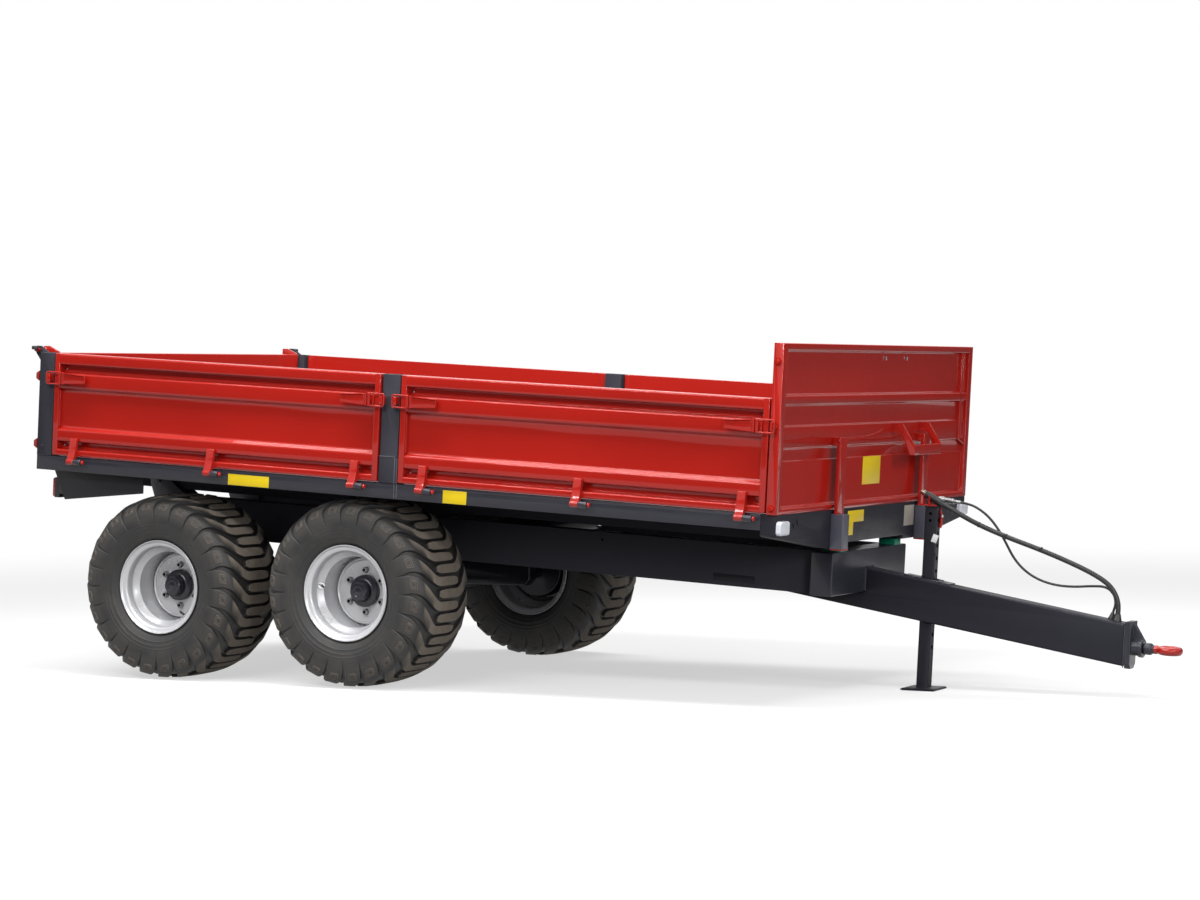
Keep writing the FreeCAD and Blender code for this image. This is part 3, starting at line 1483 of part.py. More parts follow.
def plug_along(name, route, length, steps):
    """A turned piece that goes straight on from a cord's end. steps are (share of length, radius)."""
    before, end = Vector(*route[-2]), Vector(*route[-1])
    outline = [Vector(0, 0, 0)]
    for share, radius in steps:
        outline.append(Vector(radius, 0, share * length))
    outline.append(Vector(0, 0, length))
    outline.append(outline[0])
    face = Part.Face(Part.makePolygon(outline))
    solid = face.revolve(Vector(0, 0, 0), Vector(0, 0, 1), 360)
    piece = doc.addObject("Part::Feature", f"{name}_solid")
    piece.Shape = solid
    piece.Placement = FreeCAD.Placement(end, FreeCAD.Rotation(Vector(0, 0, 1), end - before))
    node(name, [piece])


# The turned outlines of the hose's coupling and the cable's plug, as (share of length, radius in mm).
COUPLING = [(0, 16), (0.62, 16), (0.62, 12), (0.74, 12), (0.74, 15), (0.84, 15), (0.84, 10), (1, 10)]
PLUG = [(0, 9), (0.3, 9), (0.3, 14), (0.72, 14), (0.72, 16), (1, 16)]


def make_cords():
    make_cord("hydraulic_hose", HOSE_ROUTE, "hose_diameter")
    make_cord("light_cable", CABLE_ROUTE, "cable_diameter")
    plug_along("hose_coupling", HOSE_ROUTE, number("coupling_length"), COUPLING)
    plug_along("cable_plug", CABLE_ROUTE, number("plug_length"), PLUG)



make_wheels()
make_bogie()
make_chassis()
make_tip_hinge()
make_ram()
make_floor()
make_runners()
both_sides("side_rails", make_rail())
make_posts()
make_front_wall()
make_front_member()
make_stays()
make_step()
make_lamps()
make_ram_bracket()
make_panels()
make_tailgate()
make_drawbar()
make_head()
make_eye()
make_leg()
make_cradle()
make_cords()
doc.recompute()

failed = [item.Name for item in doc.Objects if {"Invalid", "Error"} & set(item.State)]
if failed:
    raise RuntimeError(f"these objects failed: {failed}")
for name, part in NODES.items():
    if part.Shape.isNull() or not part.Shape.isValid() or not part.Shape.Solids:
        raise RuntimeError(f"{name} has no valid solid")

os.makedirs("parts", exist_ok=True)
for name, part in NODES.items():
    part.Shape.exportStep(f"parts/{name}.step")
print(len(NODES), "nodes")
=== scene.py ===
# %% [markdown]
# # Tipping farm trailer: the visible surfaces
#
# The construction of this trailer is fixed: a chassis on a four-wheel bogie, a red tipping bed with hinged
# sides, a drawbar with a towing eye and a jack leg. This lesson dresses it. Every step first says what a
# piece or finish is on the real trailer, how it could be made in Blender, and why one way was chosen.

# %% Load the fixed frame
import json
import math

import bmesh
import bpy
import numpy as np
from mathutils import Matrix


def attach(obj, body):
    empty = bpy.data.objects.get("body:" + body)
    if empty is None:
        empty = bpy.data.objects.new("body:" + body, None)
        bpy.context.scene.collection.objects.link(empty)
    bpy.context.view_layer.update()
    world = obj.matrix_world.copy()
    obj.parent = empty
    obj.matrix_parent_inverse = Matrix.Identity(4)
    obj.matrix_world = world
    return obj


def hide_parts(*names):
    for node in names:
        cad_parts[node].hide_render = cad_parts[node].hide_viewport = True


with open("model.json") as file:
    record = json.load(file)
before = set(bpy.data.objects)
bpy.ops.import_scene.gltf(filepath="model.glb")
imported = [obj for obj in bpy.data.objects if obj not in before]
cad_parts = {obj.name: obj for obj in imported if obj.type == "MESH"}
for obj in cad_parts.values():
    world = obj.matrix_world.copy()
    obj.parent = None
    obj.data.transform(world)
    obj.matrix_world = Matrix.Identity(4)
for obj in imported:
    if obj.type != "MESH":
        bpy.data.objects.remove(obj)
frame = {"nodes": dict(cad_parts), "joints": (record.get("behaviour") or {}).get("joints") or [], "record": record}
nodes = frame["nodes"]
body_of = {node: body for body, members in frame["record"]["behaviour"]["bodies"].items() for node in members}
slot_of = {row["node"]: row["material_slot"] for row in frame["record"]["subparts"]}
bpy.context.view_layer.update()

# %% [markdown]
# ## The trailer's own level
#
# Parked on its jack leg, the trailer leans nose-down, while its wheels stand level. Places on the chassis
# are easier to give as if it were level, with zero over the bogie and on the ground. Two facts of the frame
# turn such places into real ones: the wheels' axles give the bogie's centre, and the slide of the jack leg
# gives the lean. One small function then does the turning for whole arrays of points.

# %% Chassis places to real places
joints = {joint["name"]: joint for joint in frame["joints"]}
axles = {end: np.array(joints[f"wheel_{end}_right_spin"]["pos_m"]) for end in ("front", "rear")}
bogie = (axles["front"] + axles["rear"]) / 2 * [1, 0, 1]
up_leg = joints["leg_slide"]["axis"]
lean = math.atan2(up_leg[0], up_leg[2])


def leaned(points):
    """Chassis places in metres, turned by the lean about the bogie's centre at hub height."""
    x, y, z = np.moveaxis(np.asarray(points, float), -1, 0)
    rise = z - bogie[2]
    along = bogie[0] + x * math.cos(lean) + rise * math.sin(lean)
    height = bogie[2] - x * math.sin(lean) + rise * math.cos(lean)
    return np.stack([along, y, height], axis=-1)


print("lean in degrees", round(math.degrees(lean), 2), "bogie", bogie.round(3))

# %% [markdown]
# ## Camera
#
# A long lens far from the trailer keeps its sides nearly parallel, as in a catalogue view. The camera
# stands at eye height off the right front corner. Its aim is a compass heading, a slight look down and a
# trace of roll, and the three directions that follow from them are the columns of its matrix.

# %% Camera
EYE = (6.964, -13.8, 1.521)
HEADING, PITCH, ROLL = (math.radians(angle) for angle in (117.421, -1.335, -0.296))
LENS, SENSOR = 90.684, 36.0

ahead = np.array([math.cos(HEADING) * math.cos(PITCH), math.sin(HEADING) * math.cos(PITCH), math.sin(PITCH)])
aside = np.array([math.sin(HEADING), -math.cos(HEADING), 0.0])
above = np.cross(aside, ahead)
right = aside * math.cos(ROLL) + above * math.sin(ROLL)
upward = above * math.cos(ROLL) - aside * math.sin(ROLL)

camera = bpy.data.objects.new("camera", bpy.data.cameras.new("camera"))
camera.data.lens = LENS
camera.data.sensor_width = SENSOR
camera.data.sensor_fit = "HORIZONTAL"
camera.data.clip_end = 400
pose = np.eye(4)
pose[:3] = np.stack([right, upward, -ahead, EYE], axis=1)
camera.matrix_world = Matrix(pose.tolist())
bpy.context.scene.collection.objects.link(camera)
bpy.context.scene.camera = camera
bpy.context.scene.view_settings.view_transform = "Standard"
print("camera at", EYE)

# %% [markdown]
# ## Shapes from arrays
#
# Nearly every extra piece is one of three kinds of surface: a brick with rounded edges, a turned shape, or
# a section carried along a path. Each is a grid of points worked out with arrays, so a bolt, a lamp and a
# tyre come from the same few lines. A grid that closes on itself around, with a cap on each end, is solid.


# %% Grids, and the solids they bound
def grid_shape(points, wrap_rows=False):
    """Points of rows by columns, closed around each row. Open ends are capped, wrapped ones joined."""
    rows, columns = points.shape[:2]
    index = np.arange(rows * columns).reshape(rows, columns)
    here = index if wrap_rows else index[:-1]
    there = np.roll(index, -1, axis=0) if wrap_rows else index[1:]
    quads = np.stack([here, np.roll(here, -1, 1), np.roll(there, -1, 1), there], axis=-1).reshape(-1, 4)
    caps = [] if wrap_rows else [index[0][::-1].tolist(), index[-1].tolist()]
    return points.reshape(-1, 3), quads.tolist() + caps


def joined(shapes):
    """Several shapes as one list of points and one of faces."""
    points, faces, count = [], [], 0
    for part_points, part_faces in shapes:
        points.append(part_points)
        faces += [[corner + count for corner in face] for face in part_faces]
        count += len(part_points)
    return np.concatenate(points), faces


def quarter_circles(steps):
    """Four quarter circles around a point, and the corner of a square that each of their points is for."""
    turn = np.linspace(0, math.pi / 2, steps + 1)
    angle = (turn[None] + np.arange(4)[:, None] * math.pi / 2).ravel()
    corner = np.repeat(np.array([[1, 1], [-1, 1], [-1, -1], [1, -1]]), steps + 1, axis=0)
    return np.stack([np.cos(angle), np.sin(angle)], axis=-1), corner


def brick(low, high, radius=0.003, steps=3):
    """A box with rounded edges: a rounded rectangle along x, drawn in by a quarter circle at each end."""
    low, high = np.minimum(low, high), np.maximum(low, high)
    middle, half = (low + high) / 2, (high - low) / 2
    radius = min(radius, half.min() * 0.98)
    turn = np.linspace(0, math.pi / 2, steps + 1)
    inset = radius * (1 - np.cos(turn))
    rounding = radius * np.sin(turn)
    stations = np.concatenate([inset - half[0], (half[0] - inset)[::-1]])
    rounding = np.concatenate([rounding, rounding[::-1]])
    around, corner = quarter_circles(steps)
    section = corner[None] * (half[1:] - radius) + around[None] * rounding[:, None, None]
    x = np.broadcast_to(stations[:, None, None], section.shape[:2] + (1,))
    return grid_shape(np.concatenate([x, section], axis=-1) + middle)


def cross_directions(direction):
    """A direction made one long, and two more at right angles to it and to each other."""
    direction = np.asarray(direction, float) / np.linalg.norm(direction)
    side = np.cross(direction, (0, 0, 1) if abs(direction[2]) < 0.9 else (0, 1, 0))
    side /= np.linalg.norm(side)
    return direction, side, np.cross(direction, side)


def rings(outline, centre, direction, steps):
    """Rows of points: every (distance along, radius) of an outline goes once around the line from centre."""
    direction, side, other = cross_directions(direction)
    along, radius = np.asarray(outline, float).T
    angle = np.arange(steps) * 2 * math.pi / steps
    ring = np.cos(angle)[:, None] * side + np.sin(angle)[:, None] * other
    return np.asarray(centre) + along[:, None, None] * direction + radius[:, None, None] * ring[None]


def turned(outline, centre, direction, steps=24):
    """A solid turned shape, capped at the two ends of its outline."""
    return grid_shape(rings(outline, centre, direction, steps))


print("points of a brick", len(brick((0, 0, 0), (1, 1, 1))[0]))

# %% [markdown]
# ## From a shape to a piece
#
# A piece is a mesh that rides on one body of the trailer and carries one finish. Doubled points at the ends
# of turned shapes are merged and every face is turned outwards. Edges sharper than a given angle stay
# crisp, and the rest is shaded smooth.


# %% Making a piece
def clean_mesh(name, points, faces, dust=None):
    """A mesh with merged doubles and faces that point outwards. Dust is one number for every point."""
    mesh = bpy.data.meshes.new(name)
    mesh.from_pydata(np.asarray(points).tolist(), [], faces)
    if dust is not None:
        layer = mesh.attributes.new("dust", "FLOAT", "POINT")
        layer.data.foreach_set("value", np.ascontiguousarray(dust, dtype=np.float32))
    work = bmesh.new()
    work.from_mesh(mesh)
    bmesh.ops.remove_doubles(work, verts=work.verts, dist=1e-6)
    bmesh.ops.recalc_face_normals(work, faces=work.faces)
    work.to_mesh(mesh)
    work.free()
    return mesh


def place_piece(name, mesh, material, body, crease=35):
    """An object at the origin that rides on a body, with its finish."""
    mesh.shade_smooth()
    mesh.set_sharp_from_angle(angle=math.radians(crease))
    mesh.materials.clear()
    mesh.materials.append(material)
    piece = bpy.data.objects.new(name, mesh)
    bpy.context.scene.collection.objects.link(piece)
    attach(piece, body)
    return piece


def fitting(name, shapes, material, body, place=leaned, crease=35):
    """One piece from several shapes, whose places are given in the chassis frame."""
    points, faces = joined(shapes)
    return place_piece(name, clean_mesh(name, place(points), faces), material, body, crease)


print("kinds of piece: placed meshes and fittings")

# %% [markdown]
# ## Light and floor
#
# A white studio surrounds the trailer. What the camera and reflections see of it is pure white, but it lights
# the trailer less than that, so that the lamps can shape it. A node that tells what kind of ray arrives makes
# the difference, and two small helpers shorten the wiring of nodes from here on.


# %% A white world
def linked(tree, kind, **settings):
    """A new node with its settings, and values or links for its named inputs."""
    node = tree.nodes.new(kind)
    for key, value in settings.pop("set", {}).items():
        setattr(node, key, value)
    for name, value in settings.items():
        socket = node.inputs[int(name[1:])] if name[0] == "i" and name[1:].isdigit() else node.inputs[name]
        if isinstance(value, bpy.types.NodeSocket):
            tree.links.new(value, socket)
        else:
            socket.default_value = value
    return node


def combined(tree, operation, first, second):
    """Two numbers as one: their sum, their product or the larger of them."""
    return linked(tree, "ShaderNodeMath", set={"operation": operation}, i0=first, i1=second).outputs[0]


def seen_directly(tree):
    """1 for what the camera, a mirror or a glass sees, and 0 for light that a surface receives."""
    rays = tree.nodes.new("ShaderNodeLightPath").outputs
    seen = combined(tree, "MAXIMUM", rays["Is Camera Ray"], rays["Is Glossy Ray"])
    return combined(tree, "MAXIMUM", seen, rays["Is Transmission Ray"])


AMBIENT = 0.30

world = bpy.data.worlds.new("white studio")
bpy.context.scene.world = world
world.use_nodes = True
sky = world.node_tree
strength = linked(sky, "ShaderNodeMapRange", Value=seen_directly(sky))
strength.inputs["To Min"].default_value = AMBIENT
strength.inputs["To Max"].default_value = 1.0
sky.links.new(strength.outputs[0], sky.nodes["Background"].inputs["Strength"])
sky.nodes["Background"].inputs["Color"].default_value = (1, 1, 1, 1)
print("ambient light", AMBIENT)

# %% [markdown]
# The floor is pale to the camera and in reflections, but throws little light back up, so that the underside
# stays as dark as under a real trailer. Far out it fades into the white of the world, and there is no
# horizon line.


# %% A pale floor that fades into the world
FLOOR_HALF = 120.0
FADE_START, FADE_END = 5.0, 13.0
FLOOR_GLOW = 0.56
FLOOR_LIT, FLOOR_SEEN = 0.14, 0.93


def sheet(name, corners, material):
    """One four-sided face of the studio, which is no part of the trailer."""
    mesh = bpy.data.meshes.new(name)
    mesh.from_pydata(corners, [], [(0, 1, 2, 3)])
    mesh.materials.append(material)
    card = bpy.data.objects.new(name, mesh)
    bpy.context.scene.collection.objects.link(card)
    return card


floor_finish = bpy.data.materials.new("pale floor")
floor_finish.use_nodes = True
tree = floor_finish.node_tree
tree.nodes.clear()
spot = tree.nodes.new("ShaderNodeTexCoord").outputs["Object"]
distance = linked(tree, "ShaderNodeVectorMath", set={"operation": "LENGTH"}, i0=spot).outputs["Value"]
fade = linked(tree, "ShaderNodeMapRange", set={"interpolation_type": "SMOOTHSTEP"}, Value=distance)
fade.inputs["From Min"].default_value = FADE_START
fade.inputs["From Max"].default_value = FADE_END
fade.inputs["To Min"].default_value = FLOOR_GLOW
glow_share = combined(tree, "MULTIPLY", fade.outputs[0], seen_directly(tree))
tone = linked(tree, "ShaderNodeMix", set={"data_type": "RGBA"}, Factor=seen_directly(tree))
tone.inputs["A"].default_value = (FLOOR_LIT, FLOOR_LIT, FLOOR_LIT, 1)
tone.inputs["B"].default_value = (FLOOR_SEEN, FLOOR_SEEN, FLOOR_SEEN, 1)
matt = linked(tree, "ShaderNodeBsdfDiffuse", Color=tone.outputs["Result"])
glow = linked(tree, "ShaderNodeEmission", Strength=1.0)
mixed = linked(tree, "ShaderNodeMixShader", Fac=glow_share, i1=matt.outputs[0], i2=glow.outputs[0])
tree.links.new(mixed.outputs[0], tree.nodes.new("ShaderNodeOutputMaterial").inputs["Surface"])
floor_corners = [(-1, -1), (1, -1), (1, 1), (-1, 1)]
sheet("floor", [(FLOOR_HALF * x, FLOOR_HALF * y, 0) for x, y in floor_corners], floor_finish)
print("floor", 2 * FLOOR_HALF, "metres across")

# %% [markdown]
# Long narrow softboxes hang over the trailer, one stands high off its right side, and two smaller ones stand
# before its front. All are at a level where a colour renders about as it is written. Narrow lamps draw thin
# bright lines along rounded edges. Gloss paint would mirror the white studio all over, so two large grey
# cards stand out of view, as flags do in a studio: only reflections see them, and the red keeps its depth.


# %% Lamps of the studio, and grey cards
def soft_light(name, position, target, size, power):
    """A rectangular soft light that looks from its position at a target."""
    lamp = bpy.data.objects.new(name, bpy.data.lights.new(name, "AREA"))
    lamp.data.shape = "RECTANGLE"
    lamp.data.size, lamp.data.size_y = size
    lamp.data.energy = power
    back, side, up = cross_directions(np.subtract(position, target))
    place = np.eye(4)
    place[:3] = np.stack([side, up, back, position], axis=1)
    lamp.matrix_world = Matrix(place.tolist())
    bpy.context.scene.collection.objects.link(lamp)


soft_light("near overhead strip", (-0.5, -2.2, 6.0), (0.3, -0.6, 1.0), (7.5, 1.0), 400)
soft_light("far overhead strip", (-0.5, 3.5, 6.0), (0.3, 0.4, 1.0), (7.5, 1.2), 300)
soft_light("side softbox", (-1.0, -9.0, 7.0), (-0.3, -1.2, 1.0), (8, 1.0), 560)
soft_light("front softbox", (9.5, -3.5, 5.0), (2.5, 0, 1.0), (2.5, 2.5), 260)
soft_light("low front softbox", (8.0, -8.0, 2.6), (0.4, -1.0, 0.5), (2.2, 1.6), 190)

CARD_GLOW = (0.11, 0.10, 0.10, 1)
grey_card = bpy.data.materials.new("grey card")
grey_card.use_nodes = True
tree = grey_card.node_tree
tree.nodes.clear()
card_glow = linked(tree, "ShaderNodeEmission", Color=CARD_GLOW, Strength=1.0)
tree.links.new(card_glow.outputs[0], tree.nodes.new("ShaderNodeOutputMaterial").inputs["Surface"])


def flag(name, start, end, low, high):
    """An upright card over a line on the floor, which only reflections see."""
    card = sheet(name, [(*start, low), (*end, low), (*end, high), (*start, high)], grey_card)
    card.visible_camera = False
    card.visible_diffuse = False
    card.visible_shadow = False
    card.visible_transmission = False


flag("side card", (-24.0, -16.0), (3.0, -16.0), -0.5, 5.5)
flag("far card", (0.5, 9.5), (14.0, 2.5), -0.5, 3.6)

# %% [markdown]
# ## Paints
#
# Sprayed steel is a base colour under a clear, slightly wavy film. Colour drifts a little from place to
# place, roughness more so, and two bumps of real height bend the reflections: the fine orange peel of the
# spray, and the slow waves of rolled sheet. All patterns read the object's own coordinates in metres, so a
# scale of 300 gives peel of about 3 mm.


# %% Patterns, colours and bumps
def pattern(tree, place, scale, detail=3.0, roughness=0.5):
    """Noise of a given scale, in cells per metre."""
    node = linked(tree, "ShaderNodeTexNoise", Vector=place, Scale=scale, Detail=detail, Roughness=roughness)
    return node.outputs["Fac"]


def spread(tree, factor, low, high, start=0.32, end=0.68):
    """A number that follows a pattern from low to high."""
    node = linked(tree, "ShaderNodeMapRange", Value=factor)
    for name, value in zip(("From Min", "From Max", "To Min", "To Max"), (start, end, low, high)):
        node.inputs[name].default_value = value
    return node.outputs["Result"]


def blended(tree, factor, first, second):
    """A colour between two colours, or colour outputs, as a pattern says."""
    node = linked(tree, "ShaderNodeMix", set={"data_type": "RGBA"}, Factor=factor)
    for name, colour in (("A", first), ("B", second)):
        if isinstance(colour, bpy.types.NodeSocket):
            tree.links.new(colour, node.inputs[name])
        else:
            node.inputs[name].default_value = (*colour, 1)
    return node.outputs["Result"]


def drifting(tree, factor, colour, drift):
    """A colour that turns darker and lighter by a share, as a pattern says."""
    darker = tuple(c * (1 - drift) for c in colour)
    lighter = tuple(min(1.0, c * (1 + drift)) for c in colour)
    return blended(tree, factor, darker, lighter)


def total(tree, values):
    """The sum of several numbers."""
    result = values[0]
    for value in values[1:]:
        result = combined(tree, "ADD", result, value)
    return result


def raised(tree, shader, heights):
    """Bumps of a real height in metres, from several patterns added up."""
    node = linked(tree, "ShaderNodeBump", Height=total(tree, heights), Strength=1.0, Distance=1.0)
    tree.links.new(node.outputs["Normal"], shader.inputs["Normal"])


def start_finish(name):
    """A material, its nodes, its shader and the object's own coordinates."""
    material = bpy.data.materials.new(name)
    material.use_nodes = True
    tree = material.node_tree
    place = tree.nodes.new("ShaderNodeTexCoord").outputs["Object"]
    return material, tree, tree.nodes["Principled BSDF"], place


def adjusted(material, socket, value):
    """The same finish with one more value of its shader set."""
    material.node_tree.nodes["Principled BSDF"].inputs[socket].default_value = value
    return material


print("helpers of a finish are ready")

# %% [markdown]
# The red is the glossiest and sits on the thinnest sheet, so its waves are the largest. The dark paint is
# satin on the bed. Darker copies of it on the drawbar, leg, front member and lamp plates are painted shade;
# lighter, nearly matt copies on the long beams and posts are painted light; a lighter bluish copy on the
# stays' feet is a painted sheen. The rims are silver, with a little metal in the paint.


# %% Paints
def painted(name, colour, drift, roughness, coat, peel=0.00002, wave=0.0004, gloss=0.3):
    """Sprayed paint: a base colour that drifts by a share, a roughness, a clear coat and two bumps."""
    material, tree, shader, place = start_finish(name)
    slow = spread(tree, pattern(tree, place, 1.3, 4), 0, 1)
    tree.links.new(drifting(tree, slow, colour, drift), shader.inputs["Base Color"])
    patchy = spread(tree, pattern(tree, place, 6, 5, 0.6), roughness - 0.05, roughness + 0.06)
    tree.links.new(patchy, shader.inputs["Roughness"])
    shader.inputs["Specular IOR Level"].default_value = gloss
    shader.inputs["Coat Weight"].default_value = coat
    shader.inputs["Coat Roughness"].default_value = 0.03
    heights = [
        spread(tree, pattern(tree, place, 300, 2), 0, peel, 0, 1),
        spread(tree, pattern(tree, place, 2.2, 1), 0, wave, 0, 1),
    ]
    raised(tree, shader, heights)
    return material


# the peel and the waves of thick steel, and of turned or cast pieces, which have no waves
STEEL = {"peel": 0.00003, "wave": 0.0002}
TURNED = {"peel": 0.00003, "wave": 0}
red_paint = painted("gloss red paint", (0.41, 0.0125, 0.0070), 0.05, 0.34, 0.65, wave=0.0005, gloss=0.08)
dark_paint = painted("satin dark paint", (0.026, 0.026, 0.037), 0.08, 0.36, 0.12, **STEEL)
# painted shade: a near-black copy of the dark paint for the lamp plates, which sit in shade under the bed
shade_black_paint = painted("black paint as painted shade", (0.009, 0.009, 0.011), 0.10, 0.40, 0.08, **STEEL)
# painted shade: a darker copy of the dark paint for the front member, jack leg, drawbar and a beam plate
shade_dark_paint = painted("dark paint darkened as painted shade", (0.020, 0.020, 0.027), 0.08, 0.46, 0.04, gloss=0.12, **STEEL)
# painted light: lighter, matt copies of the dark paint, for the bed's beams and posts, and lighter still for the
# chassis beams
lightened_beam_paint = painted("matt beam paint lightened as painted light", (0.046, 0.045, 0.056), 0.08, 0.62, 0.0, gloss=0.04, **STEEL)
lightened_web_paint = painted("matt web paint lightened as painted light", (0.066, 0.065, 0.080), 0.08, 0.62, 0.0, gloss=0.04, **STEEL)
# painted sheen: a lighter, bluish copy of the dark paint for the stays' feet
sheen_feet_paint = painted("dark paint with painted sheen", (0.094, 0.094, 0.124), 0.08, 0.36, 0.10, **STEEL)
hub_paint = painted("hub paint", (0.016, 0.016, 0.024), 0.10, 0.30, 0.35, **TURNED)
rim_paint = painted("silver rim paint", (0.60, 0.60, 0.62), 0.04, 0.30, 0.15, gloss=0.5, **TURNED)
adjusted(rim_paint, "Metallic", 0.25)
# painted highlight: a lighter grey for the thin strips along the sockets' edges and the rail's joints
edge_highlight_paint = painted("painted edge highlight", (0.16, 0.16, 0.18), 0.15, 0.35, 0.20, **TURNED)
green_pad = painted("green wear pad", (0.0, 0.16, 0.09), 0.10, 0.5, 0.0, wave=0)
print("finishes so far", len(bpy.data.materials))

# %% [markdown]
# ## Rubber, zinc and plates
#
# The tyres are dark rubber that has rolled over dry ground: a brown film lies on top of the lugs, and a
# trace of it on the sidewalls. Where the film lies is known when the tyre is made, so the mesh carries it as
# a number called dust, and noise breaks it up. Zinc is bright metal with a fine grain, and the blank plates
# are thin foil with a slight ripple.


# %% Rubber, zinc, plastics and lenses
def rubber(name, colour, dust_colour, roughness):
    """Rubber with a dusty film where the mesh says so."""
    material, tree, shader, place = start_finish(name)
    dust = linked(tree, "ShaderNodeAttribute", set={"attribute_name": "dust"}).outputs["Fac"]
    broken = spread(tree, pattern(tree, place, 22, 6, 0.65), 0.72, 1.0)
    film = combined(tree, "MULTIPLY", dust, broken)
    smudges = spread(tree, pattern(tree, place, 7, 5, 0.6), 0.0, 0.11, 0.40, 0.75)
    film = combined(tree, "MAXIMUM", film, smudges)
    fine = blended(tree, pattern(tree, place, 60, 4), tuple(c * 0.8 for c in dust_colour), dust_colour)
    tree.links.new(blended(tree, film, colour, fine), shader.inputs["Base Color"])
    tree.links.new(spread(tree, film, roughness, 0.92, 0, 1), shader.inputs["Roughness"])
    heights = [
        spread(tree, pattern(tree, place, 420, 3), 0, 0.00008, 0, 1),
        spread(tree, pattern(tree, place, 45, 3), 0, 0.0005, 0, 1),
    ]
    raised(tree, shader, heights)
    return material


def simple(name, colour, roughness, metallic=0.0, grain=0.00003, scale=250, drift=0.1, coat=0.0):
    """One colour with a slight drift and a fine grain."""
    material, tree, shader, place = start_finish(name)
    slow = spread(tree, pattern(tree, place, 15, 4), 0, 1)
    tree.links.new(drifting(tree, slow, colour, drift), shader.inputs["Base Color"])
    rough = spread(tree, pattern(tree, place, 40, 3), roughness - 0.04, roughness + 0.05)
    tree.links.new(rough, shader.inputs["Roughness"])
    shader.inputs["Metallic"].default_value = metallic
    shader.inputs["Coat Weight"].default_value = coat
    raised(tree, shader, [spread(tree, pattern(tree, place, scale, 2), 0, grain, 0, 1)])
    return material


tyre_rubber = rubber("dusty tyre rubber", (0.012, 0.012, 0.013), (0.330, 0.280, 0.230), 0.60)
hose_rubber = simple("hose rubber", (0.008, 0.008, 0.009), 0.50)
black_plastic = simple("black plastic", (0.009, 0.009, 0.010), 0.42)
# painted shade: a black that sends back no light, put where the inside of a hole lies in shade
hole_shade_black = simple("painted shade inside a hole", (0.003, 0.003, 0.003), 0.95)
adjusted(hole_shade_black, "Specular IOR Level", 0.0)
zinc = simple("bright zinc", (0.36, 0.36, 0.37), 0.30, metallic=1.0, drift=0.12)
nickel = simple("worn nickel", (0.19, 0.17, 0.14), 0.30, metallic=1.0, drift=0.25)
plug_metal = simple("dull plug metal", (0.22, 0.22, 0.22), 0.34, metallic=1.0, drift=0.2)
chrome = simple("cylinder chrome", (0.72, 0.73, 0.75), 0.12, metallic=1.0, drift=0.03, grain=0.00001)
white_lens = simple("white lens", (0.78, 0.80, 0.88), 0.15, coat=0.6, drift=0.03)
red_lens = simple("red lens", (0.45, 0.012, 0.012), 0.15, coat=0.6, drift=0.05)
yellow_foil = simple("yellow foil", (0.86, 0.62, 0.004), 0.4, grain=0.0004, scale=14, drift=0.03)
beige_foil = simple("grey foil", (0.42, 0.37, 0.32), 0.45, grain=0.0002, scale=14, drift=0.04)
white_card = simple("white card", (0.75, 0.75, 0.78), 0.6, grain=0.0003, scale=20, drift=0.03)
print("finishes", len(bpy.data.materials))

# %% [markdown]
# ## The hydraulic hose and the light cable
#
# Both leave the drawbar near the towing eye, rise in a short bow and run back to the cradle on top of the
# jack leg. The hose is stiff, so its long run barely sags. The cable is thin and limp, so it hangs in a low
# bow under the hose and crosses it. Each is one smooth curve through a few chosen places, of its real
# length, with a round section. The curve is a spline that a route's points pull on without kinks.

# %% Hose and cable
HOSE_DIAMETER, HOSE_LENGTH = 0.024, 1.106
CABLE_DIAMETER, CABLE_LENGTH = 0.012, 1.069
HOSE_ROUTE = [
    (4.134, 0, 0.6131),
    (4.139, 0, 0.660),
    (4.133, 0, 0.708),
    (4.111, 0, 0.753),
    (4.072, 0, 0.791),
    (4.000, 0, 0.828),
    (3.895, 0, 0.868),
    (3.740, 0, 0.918),
    (3.560, 0, 0.967),
    (3.420, 0, 1.013),
    (3.310, 0, 1.061),
    (3.222, 0, 1.103),
]
CABLE_ROUTE = [
    (4.099, 0.024, 0.6175),
    (4.105, 0.025, 0.650),
    (4.116, 0.028, 0.690),
    (4.104, 0.030, 0.736),
    (4.062, 0.032, 0.768),
    (3.990, 0.034, 0.764),
    (3.900, 0.034, 0.752),
    (3.810, 0.034, 0.752),
    (3.720, 0.034, 0.772),
    (3.646, 0.034, 0.812),
    (3.590, 0.034, 0.868),
    (3.550, 0.032, 0.936),
    (3.506, 0.031, 1.002),
    (3.454, 0.031, 1.057),
    (3.400, 0.033, 1.091),
    (3.350, 0.036, 1.109),
    (3.308, 0.036, 1.112),
]


def round_cord(name, route, diameter, node):
    """A cord as one smooth spline with a round section, in place of its fixed solid."""
    curve = bpy.data.curves.new(name, "CURVE")
    curve.dimensions = "3D"
    spline = curve.splines.new("NURBS")
    spline.points.add(len(route) - 1)
    places = leaned(route)
    spline.points.foreach_set("co", np.column_stack([places, np.ones(len(route))]).ravel())
    spline.order_u = 3
    spline.use_endpoint_u = True
    curve.resolution_u = 8
    curve.bevel_depth = diameter / 2
    curve.bevel_resolution = 5
    curve.use_fill_caps = True
    curve.materials.append(hose_rubber)
    cord = bpy.data.objects.new(name, curve)
    bpy.context.scene.collection.objects.link(cord)
    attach(cord, "leg")
    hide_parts(node)
    return cord


hose = round_cord("hose", HOSE_ROUTE, HOSE_DIAMETER, "hydraulic_hose")
cable = round_cord("cable", CABLE_ROUTE, CABLE_DIAMETER, "light_cable")


